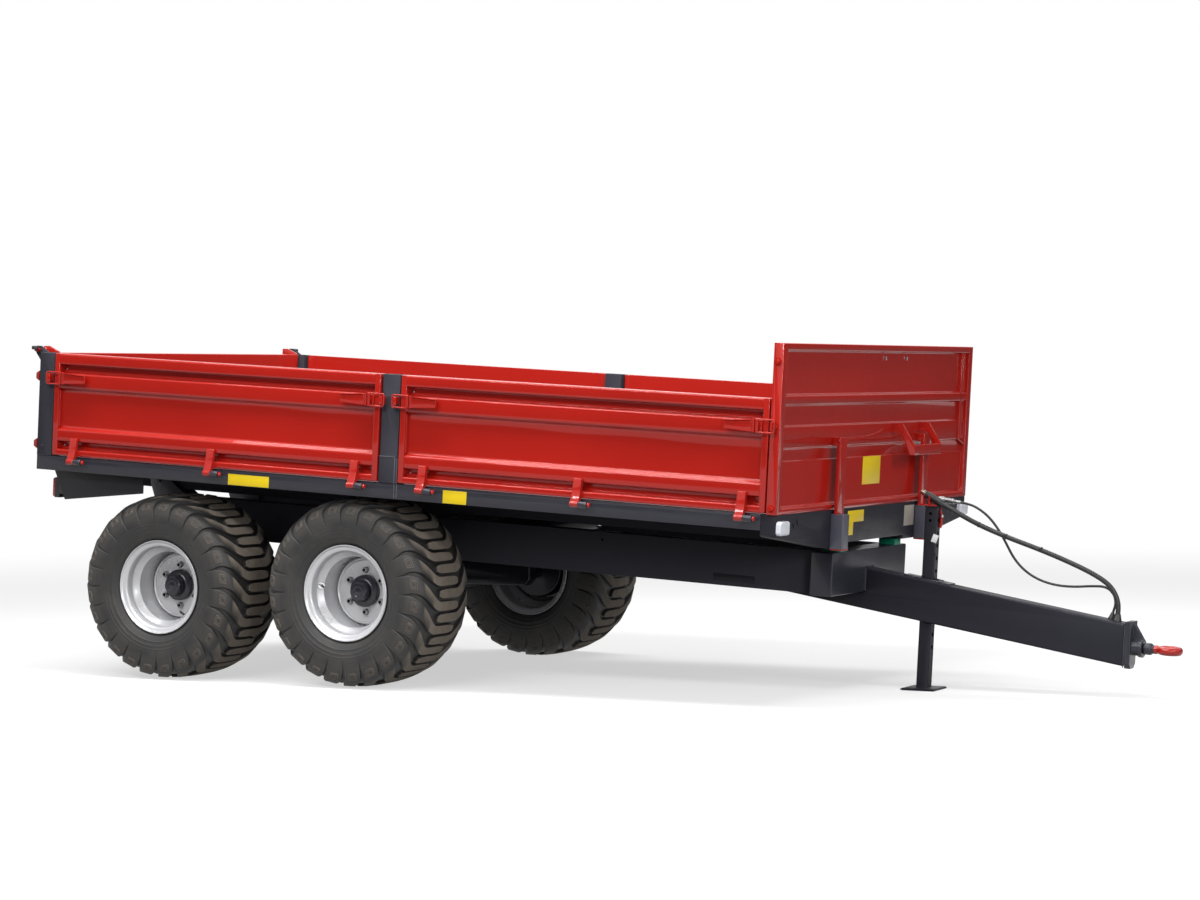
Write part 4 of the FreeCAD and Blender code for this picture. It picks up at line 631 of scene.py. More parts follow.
def last_run(route):
    """The last point of a route, and the unit direction in which it ends."""
    last, before = np.array(route[-1]), np.array(route[-2])
    return last, (last - before) / np.linalg.norm(last - before)


hose_end, hose_way = last_run(HOSE_ROUTE)
cable_end, cable_way = last_run(CABLE_ROUTE)
print("cords", HOSE_LENGTH, CABLE_LENGTH)

# %% [markdown]
# ## Coupling, plug and small things on the cords
#
# The hose ends in a black grip with a bright quick coupling, and the cable in a bright metal plug with a
# ribbed grip. Both are turned shapes along the last run of their cord. Three small ties hold cable and
# hose together, and a rubber ring seals each cord where it leaves the drawbar.

# %% Coupling, plug and ties
GRIP = [(-0.012, 0.0125), (-0.008, 0.0150), (0.008, 0.0185), (0.090, 0.0185), (0.094, 0.0155)]
NIPPLE = [(0.094, 0.0), (0.094, 0.012), (0.099, 0.012), (0.100, 0.0148), (0.107, 0.0148), (0.108, 0.010)]
NIPPLE_TIP = [(0.113, 0.010), (0.115, 0.0085), (0.119, 0.0085), (0.120, 0.007), (0.112, 0.006), (0.112, 0.0)]
PLUG = [(0, 0), (0, 0.0075), (0.004, 0.009), (0.034, 0.009), (0.036, 0.0135), (0.040, 0.014), (0.082, 0.014)]
PLUG_HEAD = [(0.084, 0.0158), (0.088, 0.016), (0.114, 0.016), (0.116, 0.0145), (0.116, 0.012)]
PLUG_MOUTH = [(0.104, 0.012), (0.104, 0)]
CHAMFER = 0.0005


def ribs(start, pitch, land, count, radius, cut):
    """The outline of a ribbed grip: in every pitch, a land at the full radius and then a cut."""
    steps = (0.0, land, land + CHAMFER, pitch - CHAMFER)
    return [(start + pitch * k + step, radius - cut * (step > land)) for k in range(count) for step in steps]


grip_ribs = ribs(0.012, 0.006, 0.003, 12, 0.0185, 0.0016)
grip_outline = [(-0.012, 0.0)] + GRIP[:3] + grip_ribs + GRIP[3:] + [(0.094, 0.0)]
grip_shape = turned(grip_outline, hose_end, hose_way, 32)
grip = fitting("hose_grip", [grip_shape], black_plastic, "leg")
coupler_shape = turned(NIPPLE + NIPPLE_TIP, hose_end, hose_way, 32)
coupler = fitting("hose_coupler", [coupler_shape], nickel, "leg")
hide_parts("hose_coupling")
plug_ribs = ribs(0.042, 0.005, 0.002, 8, 0.014, 0.001)
plug_outline = PLUG[:6] + plug_ribs + PLUG[6:] + PLUG_HEAD + PLUG_MOUTH
plug_shape = turned(plug_outline, cable_end, cable_way, 32)
plug = fitting("light_plug", [plug_shape], plug_metal, "leg")
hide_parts("cable_plug")


def tie(place, direction, radius, width=0.008):
    """A flat band around a cord, rounded at its edges."""
    proud, face = radius + 0.0006, radius + 0.0016
    outline = [(-width / 2, radius - 0.002), (-width / 2, proud), (-width / 3, face)]
    outline += [(-along, radius_there) for along, radius_there in outline[::-1]]
    return turned(outline, place, direction, 24)


tie_shapes = []
for index in (9, 8, 7):
    spot = np.array(HOSE_ROUTE[index])
    way = np.subtract(HOSE_ROUTE[index + 1], HOSE_ROUTE[index - 1])
    tie_shapes.append(tie(spot + [0, 0, 0.0015], way, HOSE_DIAMETER / 2))
    head = spot - [0, HOSE_DIAMETER / 2, -0.006]
    tie_shapes.append(brick(head - 0.005, head + 0.005, 0.0015))
ties = fitting("cord_ties", tie_shapes, black_plastic, "leg")
print("coupling at", hose_end, "plug at", cable_end)

# %% [markdown]
# ## Tyres
#
# A wide farm tyre is a smooth casing with two rows of lugs, one row from each shoulder. A lug starts with
# a blunt head just past the middle of the tread, between two heads from the other side. It leans back in a
# curve across the tread, widens over the shoulder and fades into the sidewall. It could be carved or
# displaced, but a lug is plainest as what it is: a four-sided bar carried along a curved spine that lies on
# the casing. All the spines of a row are one spine turned about the axle, so whole rows are one array.


# %% The tyre's casing
wheels = [f"{end}_{side}" for end in ("front", "rear") for side in ("right", "left")]
axles_of = {name: np.array(joints[f"wheel_{name}_spin"]["pos_m"]) for name in wheels}
outward_of = {name: np.array([0, -1 if name.endswith("right") else 1, 0]) for name in wheels}
LUGS = 24
LUG_HEIGHT = 0.018
# places across the tyre and radii of the surface through the lugs' tips, in millimetres
TIP_LINE = [
    (0, 472.5), (60, 472), (100, 471), (130, 469), (160, 466), (182, 462), (200, 456), (214, 449), (226, 440),
    (235, 429), (241, 417), (245.5, 404), (248, 390), (249.5, 375), (250, 360), (249.5, 344), (247.5, 325),
    (244, 306), (238.5, 288), (231, 272), (221, 256), (211, 245),
]
TIPS = np.array(TIP_LINE) / 1000
run = np.concatenate([[0], np.cumsum(np.linalg.norm(np.diff(TIPS, axis=0), axis=1))])
LUG_END = 0.345
HEIGHT_STATIONS = [0, 0.17, 0.235, 0.28, 0.335, LUG_END]
HEIGHT_SHARES = [1, 1, 0.78, 0.5, 0.2, 0]


def on_tips(distance):
    """Place across and radius of the surface through the lugs' tips, a distance from the middle."""
    sign = np.where(distance < 0, -1.0, 1.0)
    across, radius = (np.interp(np.abs(distance), run, column) for column in TIPS.T)
    return sign * across, radius


def lug_height(distance):
    """Full height over the tread, less over the shoulder, and down to nothing on the sidewall."""
    return LUG_HEIGHT * np.interp(np.abs(distance), HEIGHT_STATIONS, HEIGHT_SHARES)


def outward_at(distance):
    """The direction out of the tyre's surface, as parts across and along the radius."""
    step = 0.004
    (a0, r0), (a1, r1) = on_tips(distance - step), on_tips(distance + step)
    length = np.hypot(a1 - a0, r1 - r0)
    return -(r1 - r0) / length, (a1 - a0) / length


def wheel_points(across, radius, angle):
    """Points about a wheel's axle: x forward, y along the axle and z up, with the angle from x to z."""
    return np.stack([radius * np.cos(angle), across + 0 * angle, radius * np.sin(angle)], axis=-1)


CASING_STEPS = 144
BEAD = [(0.2065, 0.241), (0.204, 0.2385), (0.204, 0.218), (0.188, 0.2165)]
# the radius, width and height of each fine ring, the last of which is a groove
RINGS = [(0.2805, 0.0035, 0.0022), (0.3015, 0.0030, 0.0016), (0.3190, 0.0030, 0.0012)]
RINGS += [(0.3640, 0.0035, -0.0012)]


def casing():
    """One closed tube around the axle. Its section follows the tips, sunk by the lugs' height there.

    Fine raised rings run round the sidewall: each adds a height times a bell curve of the radius."""
    side = np.concatenate([np.linspace(0, 0.30, 25)[1:], np.linspace(0.306, run[-1], 46)])
    distance = np.concatenate([-side[::-1], [0], side])
    across, radius = on_tips(distance)
    normal = outward_at(distance)
    bell = sum(h * np.exp(-(((radius - r) / w) ** 2)) for r, w, h in RINGS) * (np.abs(distance) > 0.26)
    lift = bell - lug_height(distance)
    section = np.stack([across + lift * normal[0], radius + lift * normal[1]], axis=-1)
    section = np.concatenate([np.multiply(BEAD[::-1], (-1, 1)), section, BEAD])
    angle = np.arange(CASING_STEPS) * 2 * math.pi / CASING_STEPS
    points = wheel_points(section[None, :, 0], section[None, :, 1], angle[:, None])
    return grid_shape(points, wrap_rows=True)


casing_points, casing_faces = casing()
print("casing", len(casing_points), "points, half width", casing_points[:, 1].max().round(4))

# %% [markdown]
# The spine's lean is an angle round the axle that grows with the distance from the middle: nothing along
# the head, so that heads from both sides lie straight between each other with a groove all round, then fast
# over the outer tread, and hardly at all down the shoulder. The bar's four-sided section is widest at its
# foot, and its two upper edges have a narrow bevel that catches the light.

# %% The lugs
HEAD = -0.088
SWEEP = math.radians(15.5)
STRAIGHT, LEANED = 0.072, 0.285
# the bar's width in metres at distances from the middle, the head among them
WIDTH_STATIONS = [HEAD, HEAD + 0.004, HEAD + 0.022, -0.03, 0.06, 0.12, 0.19, 0.235, 0.30, LUG_END]
WIDTHS = np.array([24, 32, 42, 46, 46, 48, 60, 84, 88, 80]) / 1000
# the bar's section: parts of its width to one side, and parts of its height under the tips
SHARES = np.array([-0.60, -0.53, -0.508, -0.50, -0.46, 0.46, 0.50, 0.508, 0.53, 0.60])
DEPTHS = np.array([1.35, 0.55, 0.16, 0.09, 0.0, 0.0, 0.09, 0.16, 0.55, 1.35])


def spine_angle(s):
    """The angle round the axle by which a lug's spine has leaned back, a distance from the middle.

    It is the sweep times half of one minus a cosine, which runs from the straight head to the shoulder."""
    share = np.clip((s - STRAIGHT) / (LEANED - STRAIGHT), 0, 1)
    return SWEEP * (0.5 - 0.5 * np.cos(math.pi * share))


def lug_dust(s):
    """Dry dust on a lug's top: full near the head, and ending in a point halfway to the shoulder."""
    reach = 0.180 + 0.07 * SHARES[None]
    rolled = np.clip((reach - s[:, None]) / 0.014, 0, 1)
    shoulder = 0.10 * np.clip((s[:, None] - 0.215) / 0.03, 0, 1) * np.clip((0.33 - s[:, None]) / 0.03, 0, 1)
    top = np.clip(1 - DEPTHS[None] * 7, 0, 1)
    return np.maximum(rolled * top, shoulder * (DEPTHS[None] < 0.3))


def around_the_tyre(one, phase):
    """A grid of points once for every lug of a row, turned about the axle. The phase is a share of a lug."""
    turn = ((np.arange(LUGS) + phase) * 2 * math.pi / LUGS)[:, None, None]
    x, y, z = np.moveaxis(one, -1, 0)
    ahead_of_axle = x * np.cos(turn) - z * np.sin(turn)
    above_axle = x * np.sin(turn) + z * np.cos(turn)
    return np.stack([ahead_of_axle, np.broadcast_to(y, ahead_of_axle.shape), above_axle], axis=-1)


def lug_row(side, phase):
    """All lugs of one row. Spine: distance s from the head to the sidewall, and the lean of spine_angle.

    Section: an open trapezium of ten points, from one sunk foot to the other."""
    head = [HEAD, HEAD + 0.004, HEAD + 0.010]
    s = np.concatenate([head, np.linspace(HEAD + 0.022, 0.30, 27), [0.318, 0.334, LUG_END]])
    lean_angle = spine_angle(s)
    width = np.interp(s, WIDTH_STATIONS, WIDTHS)
    height = lug_height(s)
    height[0] *= 0.86
    across, radius = on_tips(s)
    out = outward_at(s)
    drop = height[:, None] * DEPTHS[None]
    drop[:, [0, -1]] += 0.004
    swing = width[:, None] * SHARES[None] / radius[:, None]
    place_across = side * (across[:, None] - drop * out[0][:, None])
    place_radius = radius[:, None] - drop * out[1][:, None]
    # edges of a leaning bar stand nearly square to its spine, so they shift across as well as around
    slope = np.gradient(lean_angle * radius, s)
    tread = np.clip((0.24 - s) / 0.05, 0, 1)
    shift = -side * (width * slope / (1 + slope**2) * 0.42 * tread)[:, None] * SHARES[None]
    one = wheel_points(place_across + shift, place_radius, lean_angle[:, None] + swing)
    return [grid_shape(lug) for lug in around_the_tyre(one, phase)], np.tile(lug_dust(s).ravel(), LUGS)


print("lug from", HEAD, "to", LUG_END)

# %% [markdown]
# Every shoulder block carries two nested marks, small rounded rectangles of raised rubber. Each is a thin
# ring laid on the same surface as the lugs, so it follows the round of the shoulder.

# %% Raised marks on the shoulder
MARK_MIDDLE = 0.262
MARK_SIZES = ((0.0165, 0.0215), (0.0095, 0.0130))
MARK_HALF_WIDTH, MARK_HEIGHT = 0.0019, 0.0015
MARK_DUST = 0.42


def mark(half_across, half_around):
    """A small rounded rectangle of raised rubber on a shoulder block, as a ring of a half round section.

    Its corners follow a superellipse of power 6, so its path is a closed curve of one angle."""
    turn = np.arange(28) * 2 * math.pi / 28
    bend = (np.abs(np.cos(turn)) ** 6 + np.abs(np.sin(turn)) ** 6) ** (-1 / 6)
    along = MARK_MIDDLE + half_across * bend * np.cos(turn)
    sideways = half_around * bend * np.sin(turn)
    around = np.arange(5) * 2 * math.pi / 5
    grow = 1 + MARK_HALF_WIDTH * np.cos(around)[None] / half_across
    distance = MARK_MIDDLE + (along - MARK_MIDDLE)[:, None] * grow
    across, radius = on_tips(distance)
    out = outward_at(distance)
    lift = MARK_HEIGHT * np.sin(around)[None] - 0.0002
    angle = spine_angle(distance) + sideways[:, None] * grow / radius
    return wheel_points(across + lift * out[0], radius + lift * out[1], angle)


def marks(side, phase):
    """Two nested marks on every shoulder block of one row."""
    shapes = []
    for size in MARK_SIZES:
        one = mark(*size) * [1, side, 1]
        shapes += [grid_shape(ring, wrap_rows=True) for ring in around_the_tyre(one, phase)]
    return shapes


def casing_dust(points):
    """None in the grooves, a film at the shoulder's edge, and a trace on the sidewall."""
    radius = np.hypot(points[:, 0], points[:, 2])
    edge = np.clip((radius - 0.345) / 0.03, 0, 1) * np.clip((0.395 - radius) / 0.02, 0, 1)
    return 0.12 * edge + 0.03


print("marks a tyre", 2 * LUGS * len(MARK_SIZES))

# %% [markdown]
# A tyre joins its casing, both rows and their marks in one mesh, with the second row half a lug further
# round. All four are the same mesh, moved to their own axles.


# %% Four tyres
first, first_dust = lug_row(1, 0.0)
second, second_dust = lug_row(-1, 0.5)
raised_marks = joined(marks(1, 0.0) + marks(-1, 0.5))
tyre_points, tyre_faces = joined([(casing_points, casing_faces)] + first + second + [raised_marks])
mark_dust = np.full(len(raised_marks[0]), MARK_DUST)
dust = np.concatenate([casing_dust(casing_points), first_dust, second_dust, mark_dust])
for name, axle in axles_of.items():
    mesh = clean_mesh(f"tyre_{name}", tyre_points + axle, tyre_faces, dust)
    tyre = place_piece(f"tread_{name}", mesh, tyre_rubber, f"wheel_{name}", crease=32)
    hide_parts(f"tyre_{name}")
print("tyre triangles", sum(len(face.vertices) - 2 for face in mesh.polygons))

# %% [markdown]
# ## Rims
#
# A deep rim is rolled from one ring of steel: a lip, a seat for the tyre's bead, a small hump, and a drop to
# a narrower well, with a disc welded into the well. It is a single turned shape, so the whole of it is one
# closed list of places along the axle and radii, taken once around. The nuts, valve and hub are turned too.


# %% Rims with nuts and valve
# places along the axle and radii in millimetres, from the disc out to the lip and back behind it
RIM_OUTLINE = [
    (20, 80.5), (20, 148), (21, 152), (26, 155), (29, 159), (29, 162), (26, 166), (18, 169), (8, 172),
    (3.5, 177), (60, 177), (124, 177), (130, 178.5), (150, 202), (155, 205.5), (159, 207.8), (163, 208),
    (167, 206.7), (194, 206.7), (200, 208.5), (204.5, 213), (207.5, 221), (209.5, 228), (212.5, 231.5),
    (217, 233.2), (219.6, 235.4), (220, 238), (218.6, 239.8), (213, 240), (209.6, 238.6), (205.6, 218),
    (205, 215.6), (160, 215.6), (136, 186), (-70, 186), (-100, 215.6), (-205, 215.6), (-209.6, 238.6),
    (-213, 240), (-218.6, 239.8), (-220, 238), (-219.6, 235.4), (-217, 233.2), (-210, 229), (-205, 214),
    (-198, 207.5), (-104, 206.7), (-74, 177), (-24, 177), (-14, 171), (6, 154), (6, 80.5),
]
RIM = np.array(RIM_OUTLINE) / 1000
NUTS, NUT_CIRCLE = 6, 0.105
DISC_FACE = 0.0195
NUT_SHADE_SEAT = [(0, 0), (0, 0.0166), (0.0010, 0.0160), (0.0010, 0.0)]
NUT_HOLE = [(0.004, 0), (0.004, 0.0088), (0.0135, 0.0088), (0.0135, 0)]
NUT = [(0, 0.0082), (0, 0.0146), (0.0030, 0.0156), (0.0055, 0.0144), (0.0175, 0.0140), (0.0205, 0.0120)]
NUT += [(0.0205, 0.0088), (0.0190, 0.0082)]
VALVE_ANGLES = {"front": math.radians(171), "rear": math.radians(-52)}
VALVE_RADIUS, VALVE_DEPTH = 0.190, 0.141
VALVE_WASHER = [(0, 0), (0, 0.0200), (0.003, 0.0200), (0.0065, 0.0165), (0.0065, 0)]
VALVE_NUT = [(0.005, 0), (0.005, 0.0095), (0.011, 0.0095), (0.0125, 0.007), (0.0125, 0)]
VALVE_TUBE = [(0.012, 0), (0.012, 0.0056), (0.040, 0.0056), (0.043, 0.0042), (0.043, 0)]


def ring_turned(outline, centre, direction, steps):
    """A turned shape whose outline closes on itself, so that its middle stays open."""
    return grid_shape(rings(outline, centre, direction, steps), wrap_rows=True)


def around_axle(centre, radius, angle):
    """A place at a radius and an angle round an axle, in the wheel's plane."""
    return np.asarray(centre) + [radius * math.cos(angle), 0, radius * math.sin(angle)]


def on_wheel(piece, name, shapes, material, crease=30):
    """A piece that turns with a wheel. Wheels stand level, so its places are real ones already."""
    return fitting(f"{piece}_{name}", shapes, material, f"wheel_{name}", np.asarray, crease)


for name, axle in axles_of.items():
    out = outward_of[name]
    rim = on_wheel("wheel_rim", name, [ring_turned(RIM, axle, out, 96)], rim_paint)
    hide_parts(f"rim_{name}")
    angles = np.radians(90 + 360 / NUTS * np.arange(NUTS))
    faces_of_nuts = [around_axle(axle, NUT_CIRCLE, angle) + DISC_FACE * out for angle in angles]
    shade_seats = [turned(NUT_SHADE_SEAT, face, out, 20) for face in faces_of_nuts]
    nut_holes = [turned(NUT_HOLE, face, out, 16) for face in faces_of_nuts]
    nuts = [ring_turned(NUT, face, out, 18) for face in faces_of_nuts]
    # a dark disc under each nut on the silver rim: painted shade around the nut
    on_wheel("nut_seat_shades", name, shade_seats, dark_paint)
    # a black plug inside each nut stands for the shade in its hole: painted shade
    on_wheel("nut_holes", name, nut_holes, hole_shade_black)
    on_wheel("wheel_nuts", name, nuts, zinc, 25)
    angle = VALVE_ANGLES[name.split("_")[0]]
    foot = around_axle(axle, VALVE_RADIUS, angle) + VALVE_DEPTH * out
    stem = around_axle((0, 0, 0), -0.75, angle) + 0.65 * out
    valve = [turned(VALVE_WASHER, foot, stem, 28), turned(VALVE_NUT, foot, stem, 6)]
    on_wheel("valve", name, valve, chrome)
    on_wheel("valve_tube", name, [turned(VALVE_TUBE, foot, stem, 16)], black_plastic)
print("rim diameter", 2 * RIM[:, 1].max())

# %% [markdown]
# The hub is a heavy casting: a brake drum behind the disc, a barrel in front of it and a stepped cap. All of
# it is one more turned shape, dark and a little glossy.

# %% Hubs with their drums and caps
# places along the axle and radii in millimetres, from the back of the drum to the cap and back inside
HUB_OUTLINE = [
    (-113.9, 46), (-113.9, 138), (-112, 143), (-106, 149), (-102, 150), (-70, 150), (-69, 148), (-60, 148),
    (-59, 150), (-4, 150), (1, 148.5), (5.4, 143), (5.4, 82), (6.5, 79.8), (38, 79.8), (43, 79), (45.5, 76.5),
    (46, 72), (46, 66), (47, 60), (50, 54), (53, 51), (57, 50), (74, 49.6), (76, 47.8), (79, 47.8), (81, 49),
    (90, 48.6), (95, 47), (98.5, 43.5), (99.8, 39), (99.8, 26), (98.6, 23.5), (98.6, 12), (99.4, 10),
    (99.4, 0), (-3.5, 0), (-3.5, 46),
]
HUB = np.array(HUB_OUTLINE) / 1000
for name, axle in axles_of.items():
    hub_shape = ring_turned(HUB, axle, outward_of[name], 72)
    hub = on_wheel("wheel_hub", name, [hub_shape], hub_paint, 24)
    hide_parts(f"hub_{name}")
print("hub reach", HUB[:, 0].max())

# %% [markdown]
# ## Rounded edges
#
# No edge of pressed or welded steel is sharp. On this trailer the long edges of tubes have a round of up to
# a centimetre, and plates a few millimetres, and it is that round which catches a line of light. Each fixed
# part keeps its shape and gets a bevel, wide on long edges and narrow on short ones. Normals are hardened,
# so that flat faces stay flat right up to the round.

# %% How round each part is, and how it is painted
ROUNDS = {
    "drawbar": 0.010,
    "chassis_beams": 0.003,
    "chassis_front_box": 0.006,
    "chassis_cross_tubes": 0.004,
    "bogie_beams": 0.008,
    "bogie_pivot": 0.003,
    "stub_axles": 0.002,
    "tip_hinge_plates": 0.002,
    "bed_runners": 0.005,
    "bed_cross_members": 0.004,
    "side_rails": 0.004,
    "rear_posts": 0.0045,
    "middle_posts": 0.0045,
    "front_member": 0.003,
    "front_wall": 0.003,
    "wall_stays": 0.003,
    "stay_feet": 0.003,
    "front_step": 0.0015,
    "tailgate": 0.003,
    "drawbar_head": 0.003,
    "jack_leg": 0.008,
    "hose_cradle": 0.0012,
    "rear_lamp_plates": 0.0015,
    "cylinder_bracket": 0.0015,
    "rest_pads": 0.003,
}
PAINTS = {
    "red_paint": red_paint,
    "dark_paint": dark_paint,
    "rim_paint": rim_paint,
    "hub_paint": hub_paint,
    "tyre_rubber": tyre_rubber,
    "black_rubber": hose_rubber,
    "green_pad": green_pad,
    "bright_steel": chrome,
    "white_lens": white_lens,
    "red_lens": red_lens,
}
# lighter and darker copies of the dark paint, part by part: painted shade on the lamp plates, front member, leg
# and drawbar, painted light on the beams and posts, and a painted sheen on the stays' feet
PAINTED_LIGHT_AND_SHADE = {
    "rear_lamp_plates": shade_black_paint,
    "front_member": shade_dark_paint,
    "jack_leg": shade_dark_paint,
    "drawbar": shade_dark_paint,
    "chassis_beams": lightened_web_paint,
    "bed_runners": lightened_beam_paint,
    "bed_cross_members": lightened_beam_paint,
    "stay_feet": sheen_feet_paint,
    "rear_posts": lightened_beam_paint,
    "middle_posts": lightened_beam_paint,
}

print("parts to round", len(ROUNDS))

# %% [markdown]
# The round is a bevel on a copy of the fixed mesh. Every sharp edge gets a weight that grows with its length,
# and the weight says how much of the full round the edge takes.


# %% Round the edges of tubes, plates and sheets
def softened(node, material, radius, small=0.25, long_edge=0.12):
    """A copy of a fixed node with rounded edges, the short ones less than the long ones, in its place."""
    work = bmesh.new()
    work.from_mesh(nodes[node].data)
    bmesh.ops.remove_doubles(work, verts=work.verts, dist=2e-5)
    bmesh.ops.dissolve_limit(work, angle_limit=math.radians(0.6), verts=work.verts, edges=work.edges)
    weight = work.edges.layers.float.new("bevel_weight_edge")
    for edge in work.edges:
        if len(edge.link_faces) == 2 and edge.calc_face_angle(0) > math.radians(28):
            edge[weight] = min(1.0, max(small, edge.calc_length() / long_edge))
    mesh = bpy.data.meshes.new(f"{node}_rounded")
    work.to_mesh(mesh)
    work.free()
    piece = place_piece(f"{node}_rounded", mesh, material, body_of[node], 180)
    bevel = piece.modifiers.new("rounded edges", "BEVEL")
    bevel.limit_method = "WEIGHT"
    bevel.width = radius
    bevel.segments = 2
    bevel.use_clamp_overlap = False
    bevel.harden_normals = True
    bevel.miter_outer = "MITER_ARC"
    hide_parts(node)
    return piece


for node, radius in ROUNDS.items():
    softened(node, PAINTED_LIGHT_AND_SHADE.get(node, PAINTS[slot_of[node]]), radius)
print("rounded", len(ROUNDS), "parts")

# %% [markdown]
# ## Side panels
#
# Each side of the bed has two drop-down panels. A panel is one sheet rolled to a section with a boxed top
# edge, two deep grooves, two proud bands and a sunk field between them, closed by a flat channel at each end.
# Edges of a rolled sheet are round, and those rounds draw its bright lines. So the section is a short list
# of corners, every corner is replaced by a curve, and the result is carried along the panel.


# %% The rolled section of a panel
def rounded_line(corners, radii, steps=5, closed=True):
    """A line through corners with each corner turned into a quadratic curve between its two neighbours.

    A point on the curve is (1-t)^2 A + 2t(1-t) P + t^2 B, where A and B lie a radius from the corner P."""
    corners = np.asarray(corners, float)
    before, after = np.roll(corners, 1, axis=0) - corners, np.roll(corners, -1, axis=0) - corners
    long_before = np.linalg.norm(before, axis=1, keepdims=True)
    long_after = np.linalg.norm(after, axis=1, keepdims=True)
    radii = np.broadcast_to(radii, len(corners))[:, None]
    first = corners + before / long_before * np.minimum(radii, long_before * 0.48)
    last = corners + after / long_after * np.minimum(radii, long_after * 0.48)
    if not closed:
        first[0] = last[0] = corners[0]
        first[-1] = last[-1] = corners[-1]
    t = np.linspace(0, 1, steps)[None, :, None]
    curve = (1 - t) ** 2 * first[:, None] + 2 * t * (1 - t) * corners[:, None] + t**2 * last[:, None]
    return curve.reshape(-1, corners.shape[1])


PANEL_FACE, PANEL_BACK = 1.223, 1.165
PANEL_LOW, PANEL_HIGH = 1.0763, 1.6023
PANEL_SPANS = {"rear": (-1.217, 0.753), "front": (0.872, 2.830)}
LIP_LOW, LIP_HIGH = 1.2230, 1.4120
CHANNEL_WIDTH, SKIN_SETBACK = 0.0305, 0.029
GROOVE_HEIGHTS = (1.5240, 1.1290)
# millimetres down from the top edge, millimetres in from the face, and the round of that corner
SECTION = [
    (0, 58, 3), (0, 0, 11), (56, 0, 9), (58, 44, 3), (95, 44, 4), (101, 4, 9), (176, 4, 9),
    (190, 25, 10), (380, 25, 10), (393, 4, 9), (452, 4, 9), (457, 44, 3), (490, 44, 4),
    (495, 0, 7), (526, 0, 5), (526, 58, 3),
]


def panel_skin(start, end):
    """The section carried along a panel, with a slow ripple of a third of a millimetre in its sunk field."""
    down, inward, radius = np.array(SECTION, float).T / 1000
    section = rounded_line(np.column_stack([inward, down]), radius, 6)
    stations = np.linspace(start, end, 61)
    depth = np.broadcast_to(section[None, :, 0], (len(stations), len(section)))
    height = PANEL_HIGH - np.broadcast_to(section[None, :, 1], depth.shape)
    field = np.exp(-(((section[None, :, 1] - 0.285) / 0.075) ** 4)) * (depth > 0.015) * (depth < 0.03)
    ripple = 0.00035 * np.sin(stations * 9.0 + 1.0)[:, None] * np.sin(height * 31.0) * field
    x = np.broadcast_to(stations[:, None], depth.shape)
    return grid_shape(np.stack([x, -PANEL_FACE + depth + ripple, height], axis=-1))


def panel_ends(start, end):
    """The flat channels that close a panel, and a thin lip inside each."""
    shapes = []
    for edge, side in ((start, 1), (end, -1)):
        inside = edge + side * CHANNEL_WIDTH
        shapes.append(brick((edge, -PANEL_FACE, PANEL_LOW), (inside, -PANEL_BACK, PANEL_HIGH), 0.0045, 4))
        lip_start, lip_end = edge + side * 0.0300, edge + side * 0.0365
        low = (lip_start, 0.007 - PANEL_FACE, LIP_LOW)
        shapes.append(brick(low, (lip_end, 0.030 - PANEL_FACE, LIP_HIGH), 0.0022, 3))
    return shapes


def panel_rivets(start, end):
    """A bright rivet near each end of both grooves."""
    outline = [(-0.001, 0), (-0.001, 0.0055), (0.0015, 0.0052), (0.0035, 0.003), (0.004, 0.0)]
    shapes = []
    for place in (start + 0.046, end - 0.046):
        for height in GROOVE_HEIGHTS:
            shapes.append(turned(outline, (place, 0.0435 - PANEL_FACE, height), (0, -1, 0), 16))
    return shapes


print("panel height", round(PANEL_HIGH - PANEL_LOW, 4), "corners in its section", len(SECTION))

# %% [markdown]
# Three straps hang each panel on pins that run through sleeves on the rail. A strap is a flat bar bent
# outwards at its foot and rolled into an eye. Two latches close each panel: a handle of folded sheet turns a
# wire loop that reaches round a lug on the post.

# %% Hinge straps
HINGE_Y, HINGE_Z = 1.250, 1.0483
STRAP_STARTS = (0.115, 0.965, 1.815)
EYE_OUTLINE = [(0.006, 0), (0.006, 0.0135), (0.0085, 0.016), (0.0475, 0.016), (0.050, 0.0135), (0.050, 0)]
PIN_OUTLINE = [(0.048, 0), (0.048, 0.0078), (0.100, 0.0078), (0.100, 0)]
PIN_HEAD = [(0.0975, 0), (0.0975, 0.0105), (0.0990, 0.0115), (0.1050, 0.0112), (0.1080, 0.0085)]
PIN_HEAD += [(0.1090, 0.004), (0.1090, 0)]


def strap(start):
    """A bent bar, its rolled eye, the pin through the sleeve and the pin's head."""
    behind, proud = PANEL_FACE - 0.002, PANEL_FACE + 0.010
    corners = [
        (behind, PANEL_LOW + 0.093),
        (proud, PANEL_LOW + 0.093),
        (proud + 0.010, PANEL_LOW + 0.022),
        (HINGE_Y + 0.0085, HINGE_Z + 0.010),
        (HINGE_Y - 0.0125, HINGE_Z + 0.010),
        (behind, PANEL_LOW + 0.004),
    ]
    section = rounded_line(corners, (0.002, 0.003, 0.020, 0.004, 0.004, 0.006), 5)
    stations = np.array([0.008, 0.0095, 0.0485, 0.050])
    shrink = np.array([0.965, 1.0, 1.0, 0.965])
    middle = section.mean(axis=0)
    rows = middle + (section - middle)[None] * shrink[:, None, None]
    x = np.broadcast_to((start + stations)[:, None], rows.shape[:2])
    bar = grid_shape(np.stack([x, -rows[..., 0], rows[..., 1]], axis=-1))
    centre = np.array([start, -HINGE_Y, HINGE_Z])
    along = (1, 0, 0)
    turned_parts = ((EYE_OUTLINE, 28), (PIN_OUTLINE, 20), (PIN_HEAD, 28))
    return [bar] + [turned(outline, centre, along, steps) for outline, steps in turned_parts]


print("straps a panel", len(STRAP_STARTS))

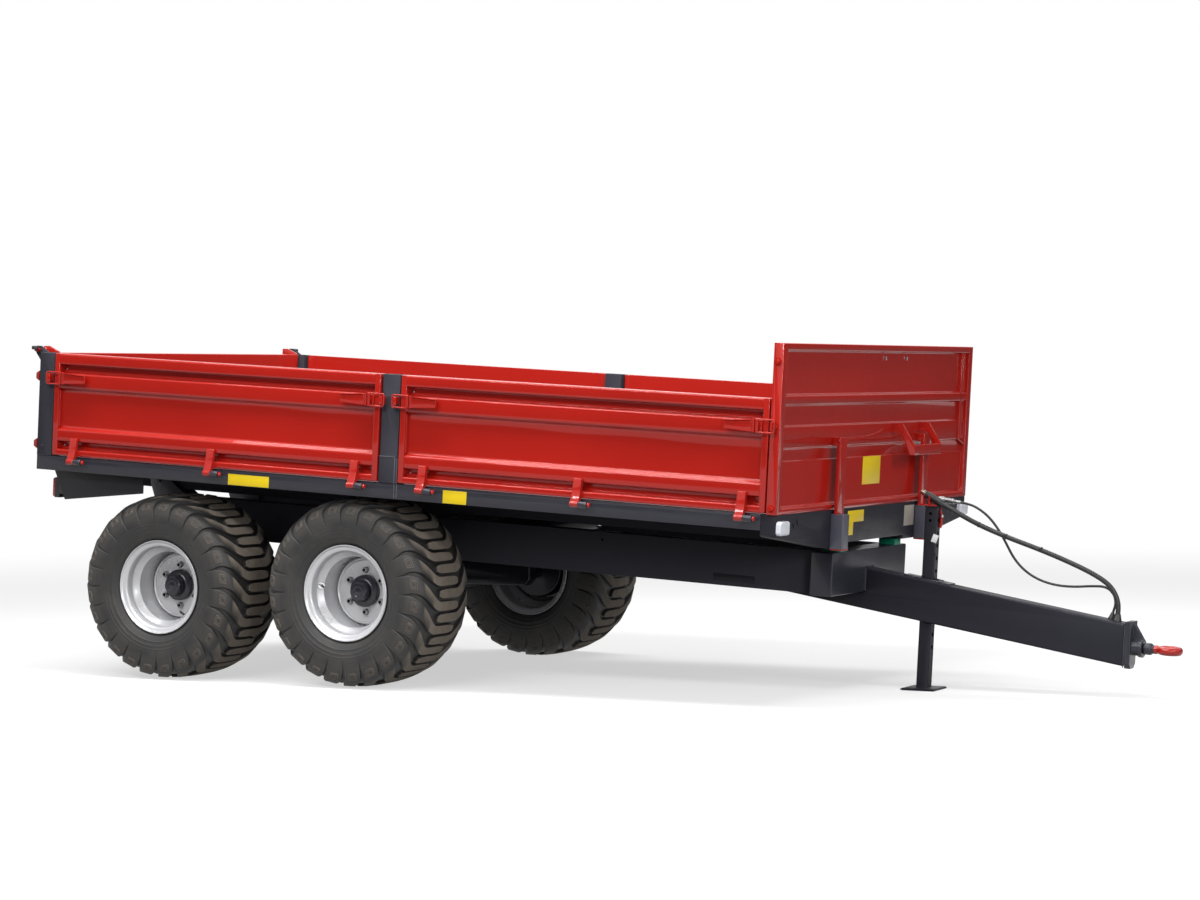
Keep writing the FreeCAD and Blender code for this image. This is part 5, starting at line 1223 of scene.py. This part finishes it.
# %% [markdown]
# A latch is bought ready made and welded on: a base with two knuckles, a handle folded from sheet with a
# proud flange along each edge, and a loop of round wire. The wire is an open line with rounded corners, and
# a circle is carried along it at right angles to the line.

# %% Latches
LATCH_Z = 1.4743
HANDLE_NEAR, HANDLE_FAR = 0.074, 0.212
HALF_NEAR, HALF_FAR = 0.029, 0.0205
OUT = PANEL_FACE + 0.016
KNUCKLE = [(-0.031, 0), (-0.031, 0.0060), (-0.0295, 0.0078), (0.0295, 0.0078), (0.031, 0.0060), (0.031, 0)]
KNUCKLE_PLACES = (0.050, 0.068)
LOOP_ROOT, LOOP_HOOK, LOOP_HALF = 0.056, 0.0352, 0.030
WIRE_RADIUS = 0.0046


def tapered(near, far, inner, outer, radius):
    """A bar along x whose half height falls evenly from the near end to the far end of the handle."""
    points, faces = brick((min(near, far), -outer, -1.0), (max(near, far), -inner, 1.0), radius, 3)
    share = (points[:, 0] - near) / (far - near)
    half = HALF_NEAR + (HALF_FAR - HALF_NEAR) * share
    round_part = np.sign(points[:, 2]) * (1 - np.abs(points[:, 2]))
    points[:, 2] = LATCH_Z + np.sign(points[:, 2]) * half - round_part
    return points, faces


def flange(near, far, sign):
    """The proud flange along the handle's upper or lower edge: a tapered bar cut to a narrow strip."""
    points, faces = tapered(near, far, OUT, OUT + 0.0168, 0.0012)
    cut = (points[:, 2] - LATCH_Z) * sign <= 0
    share = (points[:, 0] - near) / (far - near)
    inner_edge = LATCH_Z + sign * (HALF_NEAR - (HALF_NEAR - HALF_FAR) * share - 0.0038)
    points[:, 2] = np.where(cut, inner_edge, points[:, 2])
    return points, faces


def wire_loop(edge, side):
    """A circle carried along an open line with rounded corners, which hooks round the post's lug."""
    hook, root = edge + side * LOOP_HOOK, edge - side * LOOP_ROOT
    low, high = LATCH_Z - LOOP_HALF, LATCH_Z + LOOP_HALF
    line = rounded_line([(root, low), (hook, low), (hook, high), (root, high)], 0.012, 8, closed=False)
    line = line[np.concatenate([[True], np.linalg.norm(np.diff(line, axis=0), axis=1) > 1e-6])]
    tangent = np.gradient(line, axis=0)
    tangent /= np.linalg.norm(tangent, axis=1, keepdims=True)
    angle = np.arange(12) * 2 * math.pi / 12
    x = line[:, :1] - tangent[:, 1:] * np.cos(angle)[None] * WIRE_RADIUS
    z = line[:, 1:] + tangent[:, :1] * np.cos(angle)[None] * WIRE_RADIUS
    y = np.broadcast_to(-OUT - 0.0045 + WIRE_RADIUS * np.sin(angle)[None], x.shape)
    return grid_shape(np.stack([x, y, z], axis=-1))


def latch(edge, side):
    """A base on the panel, two knuckles, a folded handle with proud flanges, and the wire loop."""
    base_low = (edge - side * 0.092, 0.009 - OUT, LATCH_Z - 0.024)
    base_high = (edge - side * 0.030, 0.006 - PANEL_FACE, LATCH_Z + 0.024)
    near, far = edge - side * HANDLE_NEAR, edge - side * HANDLE_FAR
    shapes = [brick(base_low, base_high, 0.002, 3), tapered(near, far, OUT - 0.002, OUT + 0.0115, 0.0025)]
    shapes += [flange(near, far, sign) for sign in (-1, 1)]
    for place in KNUCKLE_PLACES:
        shapes.append(turned(KNUCKLE, (edge - side * place, -OUT - 0.0045, LATCH_Z), (0, 0, 1), 20))
    return shapes + [wire_loop(edge, side)]


def leaned_left(points):
    """The same chassis places on the left side, leaned."""
    return leaned(points * [1, -1, 1])


print("handle", HANDLE_FAR - HANDLE_NEAR, "long, wire", 2 * WIRE_RADIUS)

# %% [markdown]
# All the red pieces of a panel fold down together, so they make one mesh. It is worked out once for the
# right side, and the left side is its mirror image. The rivets are bright and a piece of their own.

# %% Four panels
PLACE_OF_SIDE = {"right": leaned, "left": leaned_left}
for end, (start, finish) in PANEL_SPANS.items():
    shapes = [panel_skin(start + SKIN_SETBACK, finish - SKIN_SETBACK)] + panel_ends(start, finish)
    for offset in STRAP_STARTS:
        shapes += strap(start + offset)
    shapes += latch(start, -1) + latch(finish, 1)
    rivets = panel_rivets(start, finish)
    for side, place in PLACE_OF_SIDE.items():
        body = f"panel_{end}_{side}"
        panel = fitting(body, shapes, red_paint, body, place, 38)
        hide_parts(f"side_panel_{end}_{side}")
        fitting(f"rivets_{end}_{side}", rivets, zinc, body, place)
print("panel triangles", sum(len(face.vertices) - 2 for face in panel.data.polygons))

# %% [markdown]
# Each latch closes on a lug that is welded to a post. The lug's red sleeve is a small brick round it, just
# proud of it on all sides, so that it hides the dark lug and the wire still clears it.

# %% Red sleeves on the posts' latch lugs
LUG_SPAN, LUG_DEPTH, LUG_HALF = (0.0125, 0.0296), (1.2140, 1.2498), 0.0212
latched_edges = [(PANEL_SPANS["rear"][0], -1), (PANEL_SPANS["rear"][1], 1), (PANEL_SPANS["front"][0], -1)]
sleeves = []
for edge, way in latched_edges:
    for side in (-1, 1):
        low = (edge + way * LUG_SPAN[0], side * LUG_DEPTH[0], LATCH_Z - LUG_HALF)
        high = (edge + way * LUG_SPAN[1], side * LUG_DEPTH[1], LATCH_Z + LUG_HALF)
        sleeves.append(brick(low, high, 0.0025, 3))
fitting("latch_sleeves", sleeves, red_paint, "bed")
print("sleeves", len(sleeves))

# %% [markdown]
# ## Lamps and blank plates
#
# The white front lamps are rounded squares with fine upright ribs, and the red rear lamps are long, with
# three fields. The plates are thin foils laid on the paint, all left blank. A foil is a brick a millimetre
# thick, a little cushioned at its edges.


# %% Lamps
def soft_square(low, high, radius, ribs, rib_height=0.0008, steps=6):
    """A lens that faces along x: a rounded rectangle that curves in to its ribbed face."""
    low, high = np.minimum(low, high), np.maximum(low, high)
    middle, half = (low + high)[1:] / 2, (high - low)[1:] / 2
    around, corner = quarter_circles(steps)
    edge = corner * (half - radius) + around * radius
    depth = high[0] - low[0]
    rows = []
    for level, inset in ((0, 1), (0.55, 1), (0.80, 0.985), (0.93, 0.955), (1.0, 0.90)):
        x = np.full((len(edge), 1), low[0] + level * depth)
        rows.append(np.hstack([x, middle + edge * inset]))
    shapes = [grid_shape(np.array(rows))]
    for place in np.linspace(-0.82, 0.82, ribs):
        across = middle[0] + place * half[0]
        thick = half[0] * 0.5 / ribs
        rib_low = (high[0] - 0.001, across - thick, middle[1] - half[1] * 0.82)
        rib_high = (high[0] + rib_height, across + thick, middle[1] + half[1] * 0.82)
        shapes.append(brick(rib_low, rib_high, 0.0007, 2))
    return shapes


shapes = []
for side in (-1, 1):
    shapes += soft_square((2.888, side * 1.213, 0.9755), (2.9110, side * 1.105, 1.042), 0.018, ribs=11)
lamps = fitting("front_lamp_lenses", shapes, white_lens, "bed")
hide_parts("front_lamps")
print("front lamps", len(shapes), "shapes")

# %% [markdown]
# A rear lamp is a dark housing behind the lamp plate with three red fields in it. The lens function faces
# forwards, so the fields are made in front of the trailer's middle and mirrored to the rear.

# %% Rear lamps and their dark housings
LAMP_FACE, LAMP_BASE = 1.262, 1.249
HOUSING_LOW, HOUSING_HIGH = 0.8503, 0.9553
lens_shapes, housing_shapes = [], []
for side in (-1, 1):
    near, far = sorted((side * 1.150, side * 0.960))
    housing_shapes.append(brick((0.014 - LAMP_FACE, near, HOUSING_LOW), (-1.215, far, HOUSING_HIGH), 0.004))
    housing_shapes.append(brick((-1.216, side * 1.150, 0.871), (-1.155, side * 1.144, 0.955), 0.0015))
    fields = np.linspace(near + 0.004, far - 0.004, 4)
    for start, end in zip(fields, fields[1:]):
        low, high = (LAMP_BASE, start + 0.001, 0.8545), (LAMP_FACE, end - 0.001, 0.951)
        field = soft_square(low, high, 0.006, ribs=7, rib_height=-0.0002)
        lens_shapes += [(points * [-1, 1, 1], faces) for points, faces in field]
housings = fitting("rear_lamp_housings", housing_shapes, black_plastic, "bed")
fitting("rear_lamp_lenses", lens_shapes, red_lens, "bed")
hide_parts("rear_lamps")
print("rear lamp fields", len(lens_shapes) // 8)

# %% [markdown]
# The blank plates are foils of a millimetre: yellow warning fields on the wall, the front member and the
# rails, and a grey type plate. Each lies with its back on a known face.

# %% Blank plates
FOIL = 0.0010
WALL_FACE, MEMBER_FACE, RAIL_FACE = 2.866, 2.888, -1.213


def foil(low, high, axis, out):
    """A thin blank plate whose back lies on a face: it grows from the first corner along one axis."""
    low, high = np.array(low, float), np.array(high, float)
    low[axis], high[axis] = sorted((low[axis] - 0.0002 * out, low[axis] + FOIL * out))
    return brick(low, high, 0.0005, 2)


yellow = [
    foil((WALL_FACE, -0.163, 1.175), (0, 0.061, 1.312), 0, 1),
    foil((MEMBER_FACE, -0.372, 1.000), (0, -0.172, 1.056), 0, 1),
    foil((MEMBER_FACE, -0.372, 0.938), (0, -0.300, 1.001), 0, 1),
    foil((-0.121, RAIL_FACE, 0.998), (0.123, 0, 1.053), 1, -1),
    foil((1.127, RAIL_FACE, 0.997), (1.258, 0, 1.060), 1, -1),
]
type_plate = foil((MEMBER_FACE, 0.360, 0.952), (0, 0.491, 1.054), 0, 1)
fitting("yellow_plates", yellow, yellow_foil, "bed")
fitting("type_plate", [type_plate], beige_foil, "bed")
print("plates", len(yellow) + 1)

# %% [markdown]
# ## Bolts, tabs and hooks on the bed
#
# The front wall is held by bolts through its side flanges, has two bright lifting tabs near its top, a
# folded stiffener near its far edge, and a little red hook on each stay. Bolts are hexagons with a washer,
# and all of one kind make one joined mesh. The hooks are a round bar swept along a bent path.


# %% Small parts of the front wall
def swept(path, width, height, steps=8):
    """An oval section carried along a path, at right angles to it, with its height kept upright."""
    path = np.asarray(path, float)
    tangent = np.gradient(path, axis=0)
    tangent /= np.linalg.norm(tangent, axis=1, keepdims=True)
    side = np.cross(tangent, (0, 0, 1) if abs(tangent[:, 2]).max() < 0.95 else (0, 1, 0))
    side /= np.linalg.norm(side, axis=1, keepdims=True)
    upright = np.cross(side, tangent)
    angle = np.arange(steps) * 2 * math.pi / steps
    oval = np.cos(angle)[None, :, None] * side[:, None] * width / 2
    oval = oval + np.sin(angle)[None, :, None] * upright[:, None] * height / 2
    return grid_shape(path[:, None] + oval)


def bolt(place, out, size, length):
    """A hexagon head with a round washer under it. Size is across its flats."""
    washer_outline = [(-0.001, 0), (-0.001, size * 0.95), (0.0018, size * 0.95), (0.0018, 0)]
    top = size / math.sqrt(3)
    head_outline = [(0, 0), (0, top), (length * 0.8, top), (length, top * 0.86), (length, 0)]
    return [turned(washer_outline, place, out, 18), turned(head_outline, place, out, 6)]


def rounded_tab(place, size, radius=0.002):
    """A small block about a middle place."""
    place, half = np.asarray(place, float), np.asarray(size, float) / 2
    return brick(place - half, place + half, radius, 2)


SHEET_FACE = 2.862
FLANGE_Y, FLANGE_BOLTS = 1.223, (1.770, 1.474, 1.098)
BUTTON = [(0, 0), (0, 0.008), (0.004, 0.008), (0.006, 0.005), (0.006, 0)]
HOOK_Y = 0.588
red_bits, bright_bits = [], []
for side in (-1, 1):
    for height in FLANGE_BOLTS:
        red_bits += bolt((SHEET_FACE, side * FLANGE_Y, height), (0, side, 0), 0.020, 0.011)
    bright_bits.append(turned(BUTTON, (WALL_FACE, side * 1.180, 1.105), (1, 0, 0), 16))
for across in (0.055, 0.330):
    bright_bits.append(rounded_tab((WALL_FACE + 0.0045, across, 1.792), (0.012, 0.010, 0.020), 0.003))
fitting("wall_bolts", red_bits, red_paint, "bed")
fitting("wall_tabs", bright_bits, zinc, "bed")
curl = [(2.873, 1.092, 1.378), (2.876, 1.12, 1.366), (2.878, 1.16, 1.352), (2.880, 1.213, 1.340)]
stiffeners = [
    brick((SHEET_FACE, 1.085, 1.375), (2.884, 1.100, 1.826), 0.004),
    brick((SHEET_FACE, 1.120, 1.375), (2.880, 1.132, 1.826), 0.004),
    swept(curl, 0.010, 0.012, 8),
]
hooks = []
for side in (-1, 1):
    base = np.array([2.910, side * HOOK_Y, 1.392])
    bends = [(0, -0.010, 0), (0, 0, 0), (0.004, 0.004, 0.004), (0.008, 0.005, 0.016), (0.009, 0.005, 0.026)]
    hooks.append(swept(base + np.multiply(bends, (1, side, 1)), 0.009, 0.009, 10))
fitting("wall_stiffeners", stiffeners, red_paint, "bed")
fitting("stay_hooks", hooks, red_paint, "bed")
print("wall details", len(red_bits), len(bright_bits))

# %% [markdown]
# The rear posts carry the tailgate's pins, with black caps on its arms, and have a welded seam near their
# foot. The lamp plates have two bolts, two open holes and a slot each. A hole that nothing shows through is
# a thin black disc that sends back no light, a painted shade of its inside, and that is kinder to a mesh than
# a cut.

# %% Small parts of posts and lamp plates
PLATE_Y, POST_Y = 1.150, 1.2150
CAP_OUTLINE = [(-0.020, 0), (-0.020, 0.0165), (-0.008, 0.0185), (-0.003, 0.0165)]
CAP_OUTLINE += [(-0.0008, 0.010), (-0.0008, 0)]
BEAM_FACE = -0.400
SLOT_LEAN = math.radians(28)


def rotation(angle, first, second):
    """The matrix that turns rows of points by an angle, from the first axis towards the second."""
    matrix = np.eye(3)
    matrix[[first, second], [first, second]] = math.cos(angle)
    matrix[first, second] = math.sin(angle)
    matrix[second, first] = -math.sin(angle)
    return matrix


def shade_disc(place, out, radius, sunk=0.001, proud=0.0004, steps=16):
    """A disc that stands a hair proud of a face, for a hole of a given radius: painted shade of its inside."""
    return turned([(-sunk, 0), (-sunk, radius), (proud, radius), (proud, 0)], place, out, steps)


caps = [turned(CAP_OUTLINE, (-1.347, side * 1.226, 1.6343), (0, 0, 1), 24) for side in (-1, 1)]
fitting("gate_arm_caps", caps, black_plastic, "tailgate")
bolts, seams, recesses = [], [], []
slot_points, slot_faces = brick((-0.0005, -0.0035, -0.013), (0.0006, 0.0035, 0.013), 0.0004, 2)
slot_points = slot_points @ rotation(SLOT_LEAN, 1, 2)
for side in (-1, 1):
    out = (0, side, 0)
    for along, height in ((-1.118, 0.946), (-0.953, 0.955)):
        bolts += bolt((along, side * PLATE_Y, height), out, 0.015, 0.007)
    seams += bolt((-1.285, side * POST_Y, 1.118), out, 0.013, 0.004)
    seams.append(brick((-1.3180, side * 1.2130, 1.0700), (-1.2260, side * 1.2162, 1.0735), 0.0008, 2))
    for along, height in ((-1.085, 0.950), (-1.020, 0.953)):
        recesses.append(shade_disc((along, side * (PLATE_Y + 0.0002), height), out, 0.0065))
    recesses.append(rounded_tab((-0.790, side * PLATE_Y, 0.940), (0.090, 0.0010, 0.006), 0.0004))
    for across, height in ((1.020, 1.012), (0.975, 1.028)):
        recesses.append((slot_points + [MEMBER_FACE, side * across, height], slot_faces))
fitting("plate_bolts", bolts, zinc, "bed")
fitting("post_seams", seams, dark_paint, "bed")
fitting("plate_holes", recesses, hole_shade_black, "bed")
# a black disc on the beam: painted shade of a hole
beam_hole = shade_disc((1.585, BEAM_FACE - 0.0002, 0.816), (0, -1, 0), 0.0065)
beam_plate = foil((2.205, BEAM_FACE, 0.668), (2.430, 0, 0.703), 1, -1)
fitting("beam_hole", [beam_hole], hole_shade_black, "chassis")
# the plate on the beam takes the darker copy of the dark paint, a painted shade
fitting("beam_plate", [beam_plate], shade_dark_paint, "chassis")
print("bolts", len(bolts) // 2, "holes", len(recesses))

# %% [markdown]
# A middle post stands in a socket that is welded from plate. Its upper and front edges, and the joints in the
# rail below, carry a painted highlight: a lighter line. Each line is a strip two or three millimetres wide.

# %% Sockets of the middle posts
SOCKET_REAR, SOCKET_FRONT, SOCKET_TOP, FLOOR_TOP, RAIL_FOOT = 0.7605, 0.8520, 1.2033, 1.0703, 0.9980
STRIP = 0.0026
# each upright strip's place along the side, and where it stops
STRIP_TOPS = ((0.8490, SOCKET_TOP), (0.8630, SOCKET_TOP - 0.010))
sockets = []
for side in (-1, 1):
    socket_back, socket_front = side * POST_Y, side * 1.2182
    rail_back, rail_front = side * 1.2120, side * 1.2142
    upper = (SOCKET_REAR, socket_back, SOCKET_TOP - 0.004), (SOCKET_FRONT, socket_front, SOCKET_TOP)
    sockets.append(brick(*upper, 0.0007, 2))
    for along, top in STRIP_TOPS:
        ahead_of = along + STRIP
        sockets.append(brick((along, socket_back, FLOOR_TOP), (ahead_of, socket_front, top), 0.0007, 2))
        sockets.append(brick((along, rail_back, RAIL_FOOT), (ahead_of, rail_front, FLOOR_TOP), 0.0007, 2))
fitting("socket_edge_highlights", sockets, edge_highlight_paint, "bed")
print("socket edges", len(sockets))

# %% [markdown]
# ## Jack leg and drawbar
#
# The jack leg is a square tube that slides through the drawbar and is pinned through a row of holes. On it
# hang a red pull handle, and a white blank tag on a thin cord. On the drawbar there are reinforcing plates
# around the leg, a weld at the front box, and rubber rings where the cords come out.

# %% Jack leg
LEG_REAR, LEG_FRONT, LEG_HALF = 3.149, 3.211, 0.031
GRIP_PLACE = 0.016
# each hole in the leg is a black disc: painted shade of its inside
holes = []
for height in np.arange(0.40, 1.03, 0.062):
    for face, way in ((LEG_FRONT, 1), (LEG_REAR, -1)):
        holes.append(shade_disc((face, 0, height), (way, 0, 0), 0.0095, 0.002, 0.0006, 20))
for height in (1.052, 1.018):
    for side in (-1, 1):
        holes.append(shade_disc((3.180, side * LEG_HALF, height), (0, side, 0), 0.0075, 0.002, 0.0006, 20))
fitting("leg_holes", holes, hole_shade_black, "leg")
bow = [(3.2135, 1.060), (3.217, 1.052), (3.219, 1.035), (3.219, 1.012), (3.217, 0.994), (3.2135, 0.984)]
handle = swept([(along, GRIP_PLACE, height) for along, height in bow], 0.016, 0.012, 12)
hinge = brick((LEG_FRONT, 0.009, 1.056), (3.216, 0.023, 1.085), 0.0015)
knob_outline = [(-0.008, 0), (-0.007, 0.005), (-0.004, 0.0075), (0, 0.0085)]
knob_outline += [(0.004, 0.0075), (0.007, 0.005), (0.008, 0)]
knob = turned(knob_outline, (3.222, GRIP_PLACE, 1.040), (1, 0, 0), 18)
fitting("leg_handle", [handle, hinge], red_paint, "leg")
fitting("leg_knob", [knob], zinc, "leg")
print("holes", len(holes))

# %% [markdown]
# The tag is a blank white card, tied on with a thin black string that runs on below it. A card hangs as it
# likes, so it is turned a little about its own axis and leans in its plane.

# %% Tag and its string
STRING = 0.003
SWING, HANG = math.radians(26), math.radians(-19)
TAG_MIDDLE, TAG_HALF = np.array([3.2180, -0.0560, 0.934]), np.array([0.0135, 0.0009, 0.0200])
UPPER_STRING = [(3.2125, 0.020, 0.985), (3.217, -0.005, 0.968), (3.219, -0.030, 0.958)]
UPPER_STRING += [(3.2180, -0.052, 0.952)]
LOWER_STRING = [(3.2170, -0.060, 0.916), (3.2175, -0.062, 0.898), (3.2170, -0.052, 0.874)]
LOWER_STRING += [(3.2150, -0.026, 0.854), (3.2120, -0.002, 0.846)]
strings = [swept(route, STRING, STRING, 8) for route in (UPPER_STRING, LOWER_STRING)]
fitting("tag_string", strings, black_plastic, "leg")
tag_points, tag_faces = brick(-TAG_HALF, TAG_HALF, 0.0006, 2)
tag_points = tag_points @ rotation(HANG, 0, 2) @ rotation(SWING, 0, 1) + TAG_MIDDLE
fitting("blank_tag", [(tag_points, tag_faces)], white_card, "leg")
print("tag", TAG_MIDDLE)

# %% [markdown]
# The drawbar's top slopes, so the plates that guide the leg are bricks lifted by the height of that slope.
# A weld is a round bead whose thickness swells at every ripple. The rubber rings are turned round the first
# run of each cord.

# %% Drawbar plates, weld and rubber rings
BAR_REAR, BAR_FRONT = (2.865, 0.764), (4.190, 0.606)
BAR_SLOPE = (BAR_FRONT[1] - BAR_REAR[1]) / (BAR_FRONT[0] - BAR_REAR[0])


def drawbar_top(along):
    """The height of the drawbar's top face over a place along it."""
    return BAR_REAR[1] + (along - BAR_REAR[0]) * BAR_SLOPE


def laid_plate(start, end, near, far, thickness, radius):
    """A flat plate that lies along the sloping top of the drawbar."""
    points, faces = brick((start, near, -0.002), (end, far, thickness), radius, 2)
    points[:, 2] += drawbar_top(points[:, 0])
    return points, faces


plates = [
    laid_plate(3.060, 3.136, -0.040, 0.040, 0.006, 0.002),
    laid_plate(3.224, 3.300, -0.040, 0.040, 0.006, 0.002),
    laid_plate(3.120, 3.240, -0.0475, -0.036, 0.008, 0.002),
    laid_plate(3.120, 3.240, 0.036, 0.0475, 0.008, 0.002),
]
fitting("leg_guides", plates, dark_paint, "chassis")


def weld(start, end, size, count):
    """A bead of weld: a round section along a line, swollen once for every ripple by a sine of the length."""
    share = np.linspace(0, 1, count * 6 + 1)
    path = np.asarray(start) + share[:, None] * np.subtract(end, start)
    points, faces = swept(path, size, size, 8)
    rows = points.reshape(len(share), 8, 3)
    swell = 1 + 0.13 * np.sin(share * count * 2 * math.pi)
    rows[:] = path[:, None] + (rows - path[:, None]) * swell[:, None, None]
    return rows.reshape(-1, 3), faces


ROOT_X, HEAD_X = 2.866, 4.1895
welds = [
    weld((ROOT_X, -0.0505, 0.648), (ROOT_X, -0.0505, 0.762), 0.010, 20),
    weld((ROOT_X, 0.0505, 0.648), (ROOT_X, 0.0505, 0.762), 0.010, 20),
    weld((ROOT_X, -0.049, 0.765), (ROOT_X, 0.049, 0.765), 0.010, 18),
]
for across in (-0.0500, 0.0500):
    welds.append(weld((HEAD_X, across, 0.400), (HEAD_X, across, 0.600), 0.006, 30))
fitting("drawbar_welds", welds, dark_paint, "chassis")
cord_rings = []
for route, hole in ((HOSE_ROUTE, 0.0125), (CABLE_ROUTE, 0.0065)):
    along, across = route[0][:2]
    outline = [(-0.006, hole + 0.010), (0.004, hole + 0.010), (0.008, hole + 0.008), (0.030, hole + 0.002)]
    outline += [(0.034, hole + 0.0005), (0.034, hole - 0.001), (-0.006, hole - 0.001)]
    base = (along, across, drawbar_top(along))
    cord_rings.append(ring_turned(outline, base, np.subtract(route[1], route[0]), 32))
fitting("cord_rings", cord_rings, black_plastic, "chassis")
print("drawbar top at the leg", round(drawbar_top(3.18), 3))

# %% [markdown]
# The towing eye is forged: a ring of a round, slightly flattened section that grows out of a thick root. The
# ring is a torus, a circle of a circle. The dark neck and collars behind it are turned. Two thin red shims
# lie between the stays' feet and the front member.

# %% Towing eye and shims
RING_CENTRE, RING_RADIUS, RING_SECTION = np.array([4.398, 0, 0.495]), 0.0435, 0.0185
NECK_START = (4.2055, 0, 0.495)
NECK = [(0, 0), (0, 0.0195), (0.066, 0.0195), (0.070, 0.0265), (0.074, 0.0285), (0.100, 0.0285)]
NECK += [(0.106, 0.0265), (0.110, 0.0215), (0.122, 0.0205), (0.126, 0.018), (0.126, 0)]
ROOT = [(0.118, 0), (0.118, 0.0205), (0.128, 0.0215), (0.150, 0.0178), (0.161, 0.010), (0.161, 0)]


def flat_ring(steps=64, section_steps=20):
    """A ring that lies level. Its section is an ellipse, 1.08 times as high as it is wide."""
    around = (np.arange(steps) * 2 * math.pi / steps)[:, None]
    small = (np.arange(section_steps) * 2 * math.pi / section_steps)[None]
    reach = RING_RADIUS + RING_SECTION * np.cos(small)
    height = np.broadcast_to(RING_SECTION * 1.08 * np.sin(small), (steps, section_steps))
    return np.stack([reach * np.cos(around), reach * np.sin(around), height], axis=-1)


eye_ring = grid_shape(flat_ring() + RING_CENTRE, wrap_rows=True)
neck = turned(NECK, NECK_START, (1, 0, 0), 32)
root = turned(ROOT, NECK_START, (1, 0, 0), 32)
fitting("towing_eye_neck", [neck], dark_paint, "eye")
eye = fitting("towing_eye_forging", [eye_ring, root], red_paint, "eye")
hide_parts("towing_eye")
shims = []
for side in (-1, 1):
    near, far = sorted((side * 0.500, side * 0.580))
    shims.append(brick((2.8885, near + 0.001, 0.8785), (2.9520, far - 0.001, 0.8850), 0.0012))
fitting("stay_shims", shims, red_paint, "bed")
print("eye width", 2 * (RING_RADIUS + RING_SECTION))

# %% [markdown]
# ## The rest of the frame
#
# What nothing stands in for keeps its fixed mesh and only gets the paint that its slot names: the floor of
# the bed, and the cylinder's barrel, stages and rod.

# %% Finish every remaining fixed node with its own paint
carried = [name for name, node in nodes.items() if not node.hide_render]
for name in carried:
    nodes[name].data.materials.clear()
    nodes[name].data.materials.append(PAINTS[slot_of[name]])
print("carried over", carried)
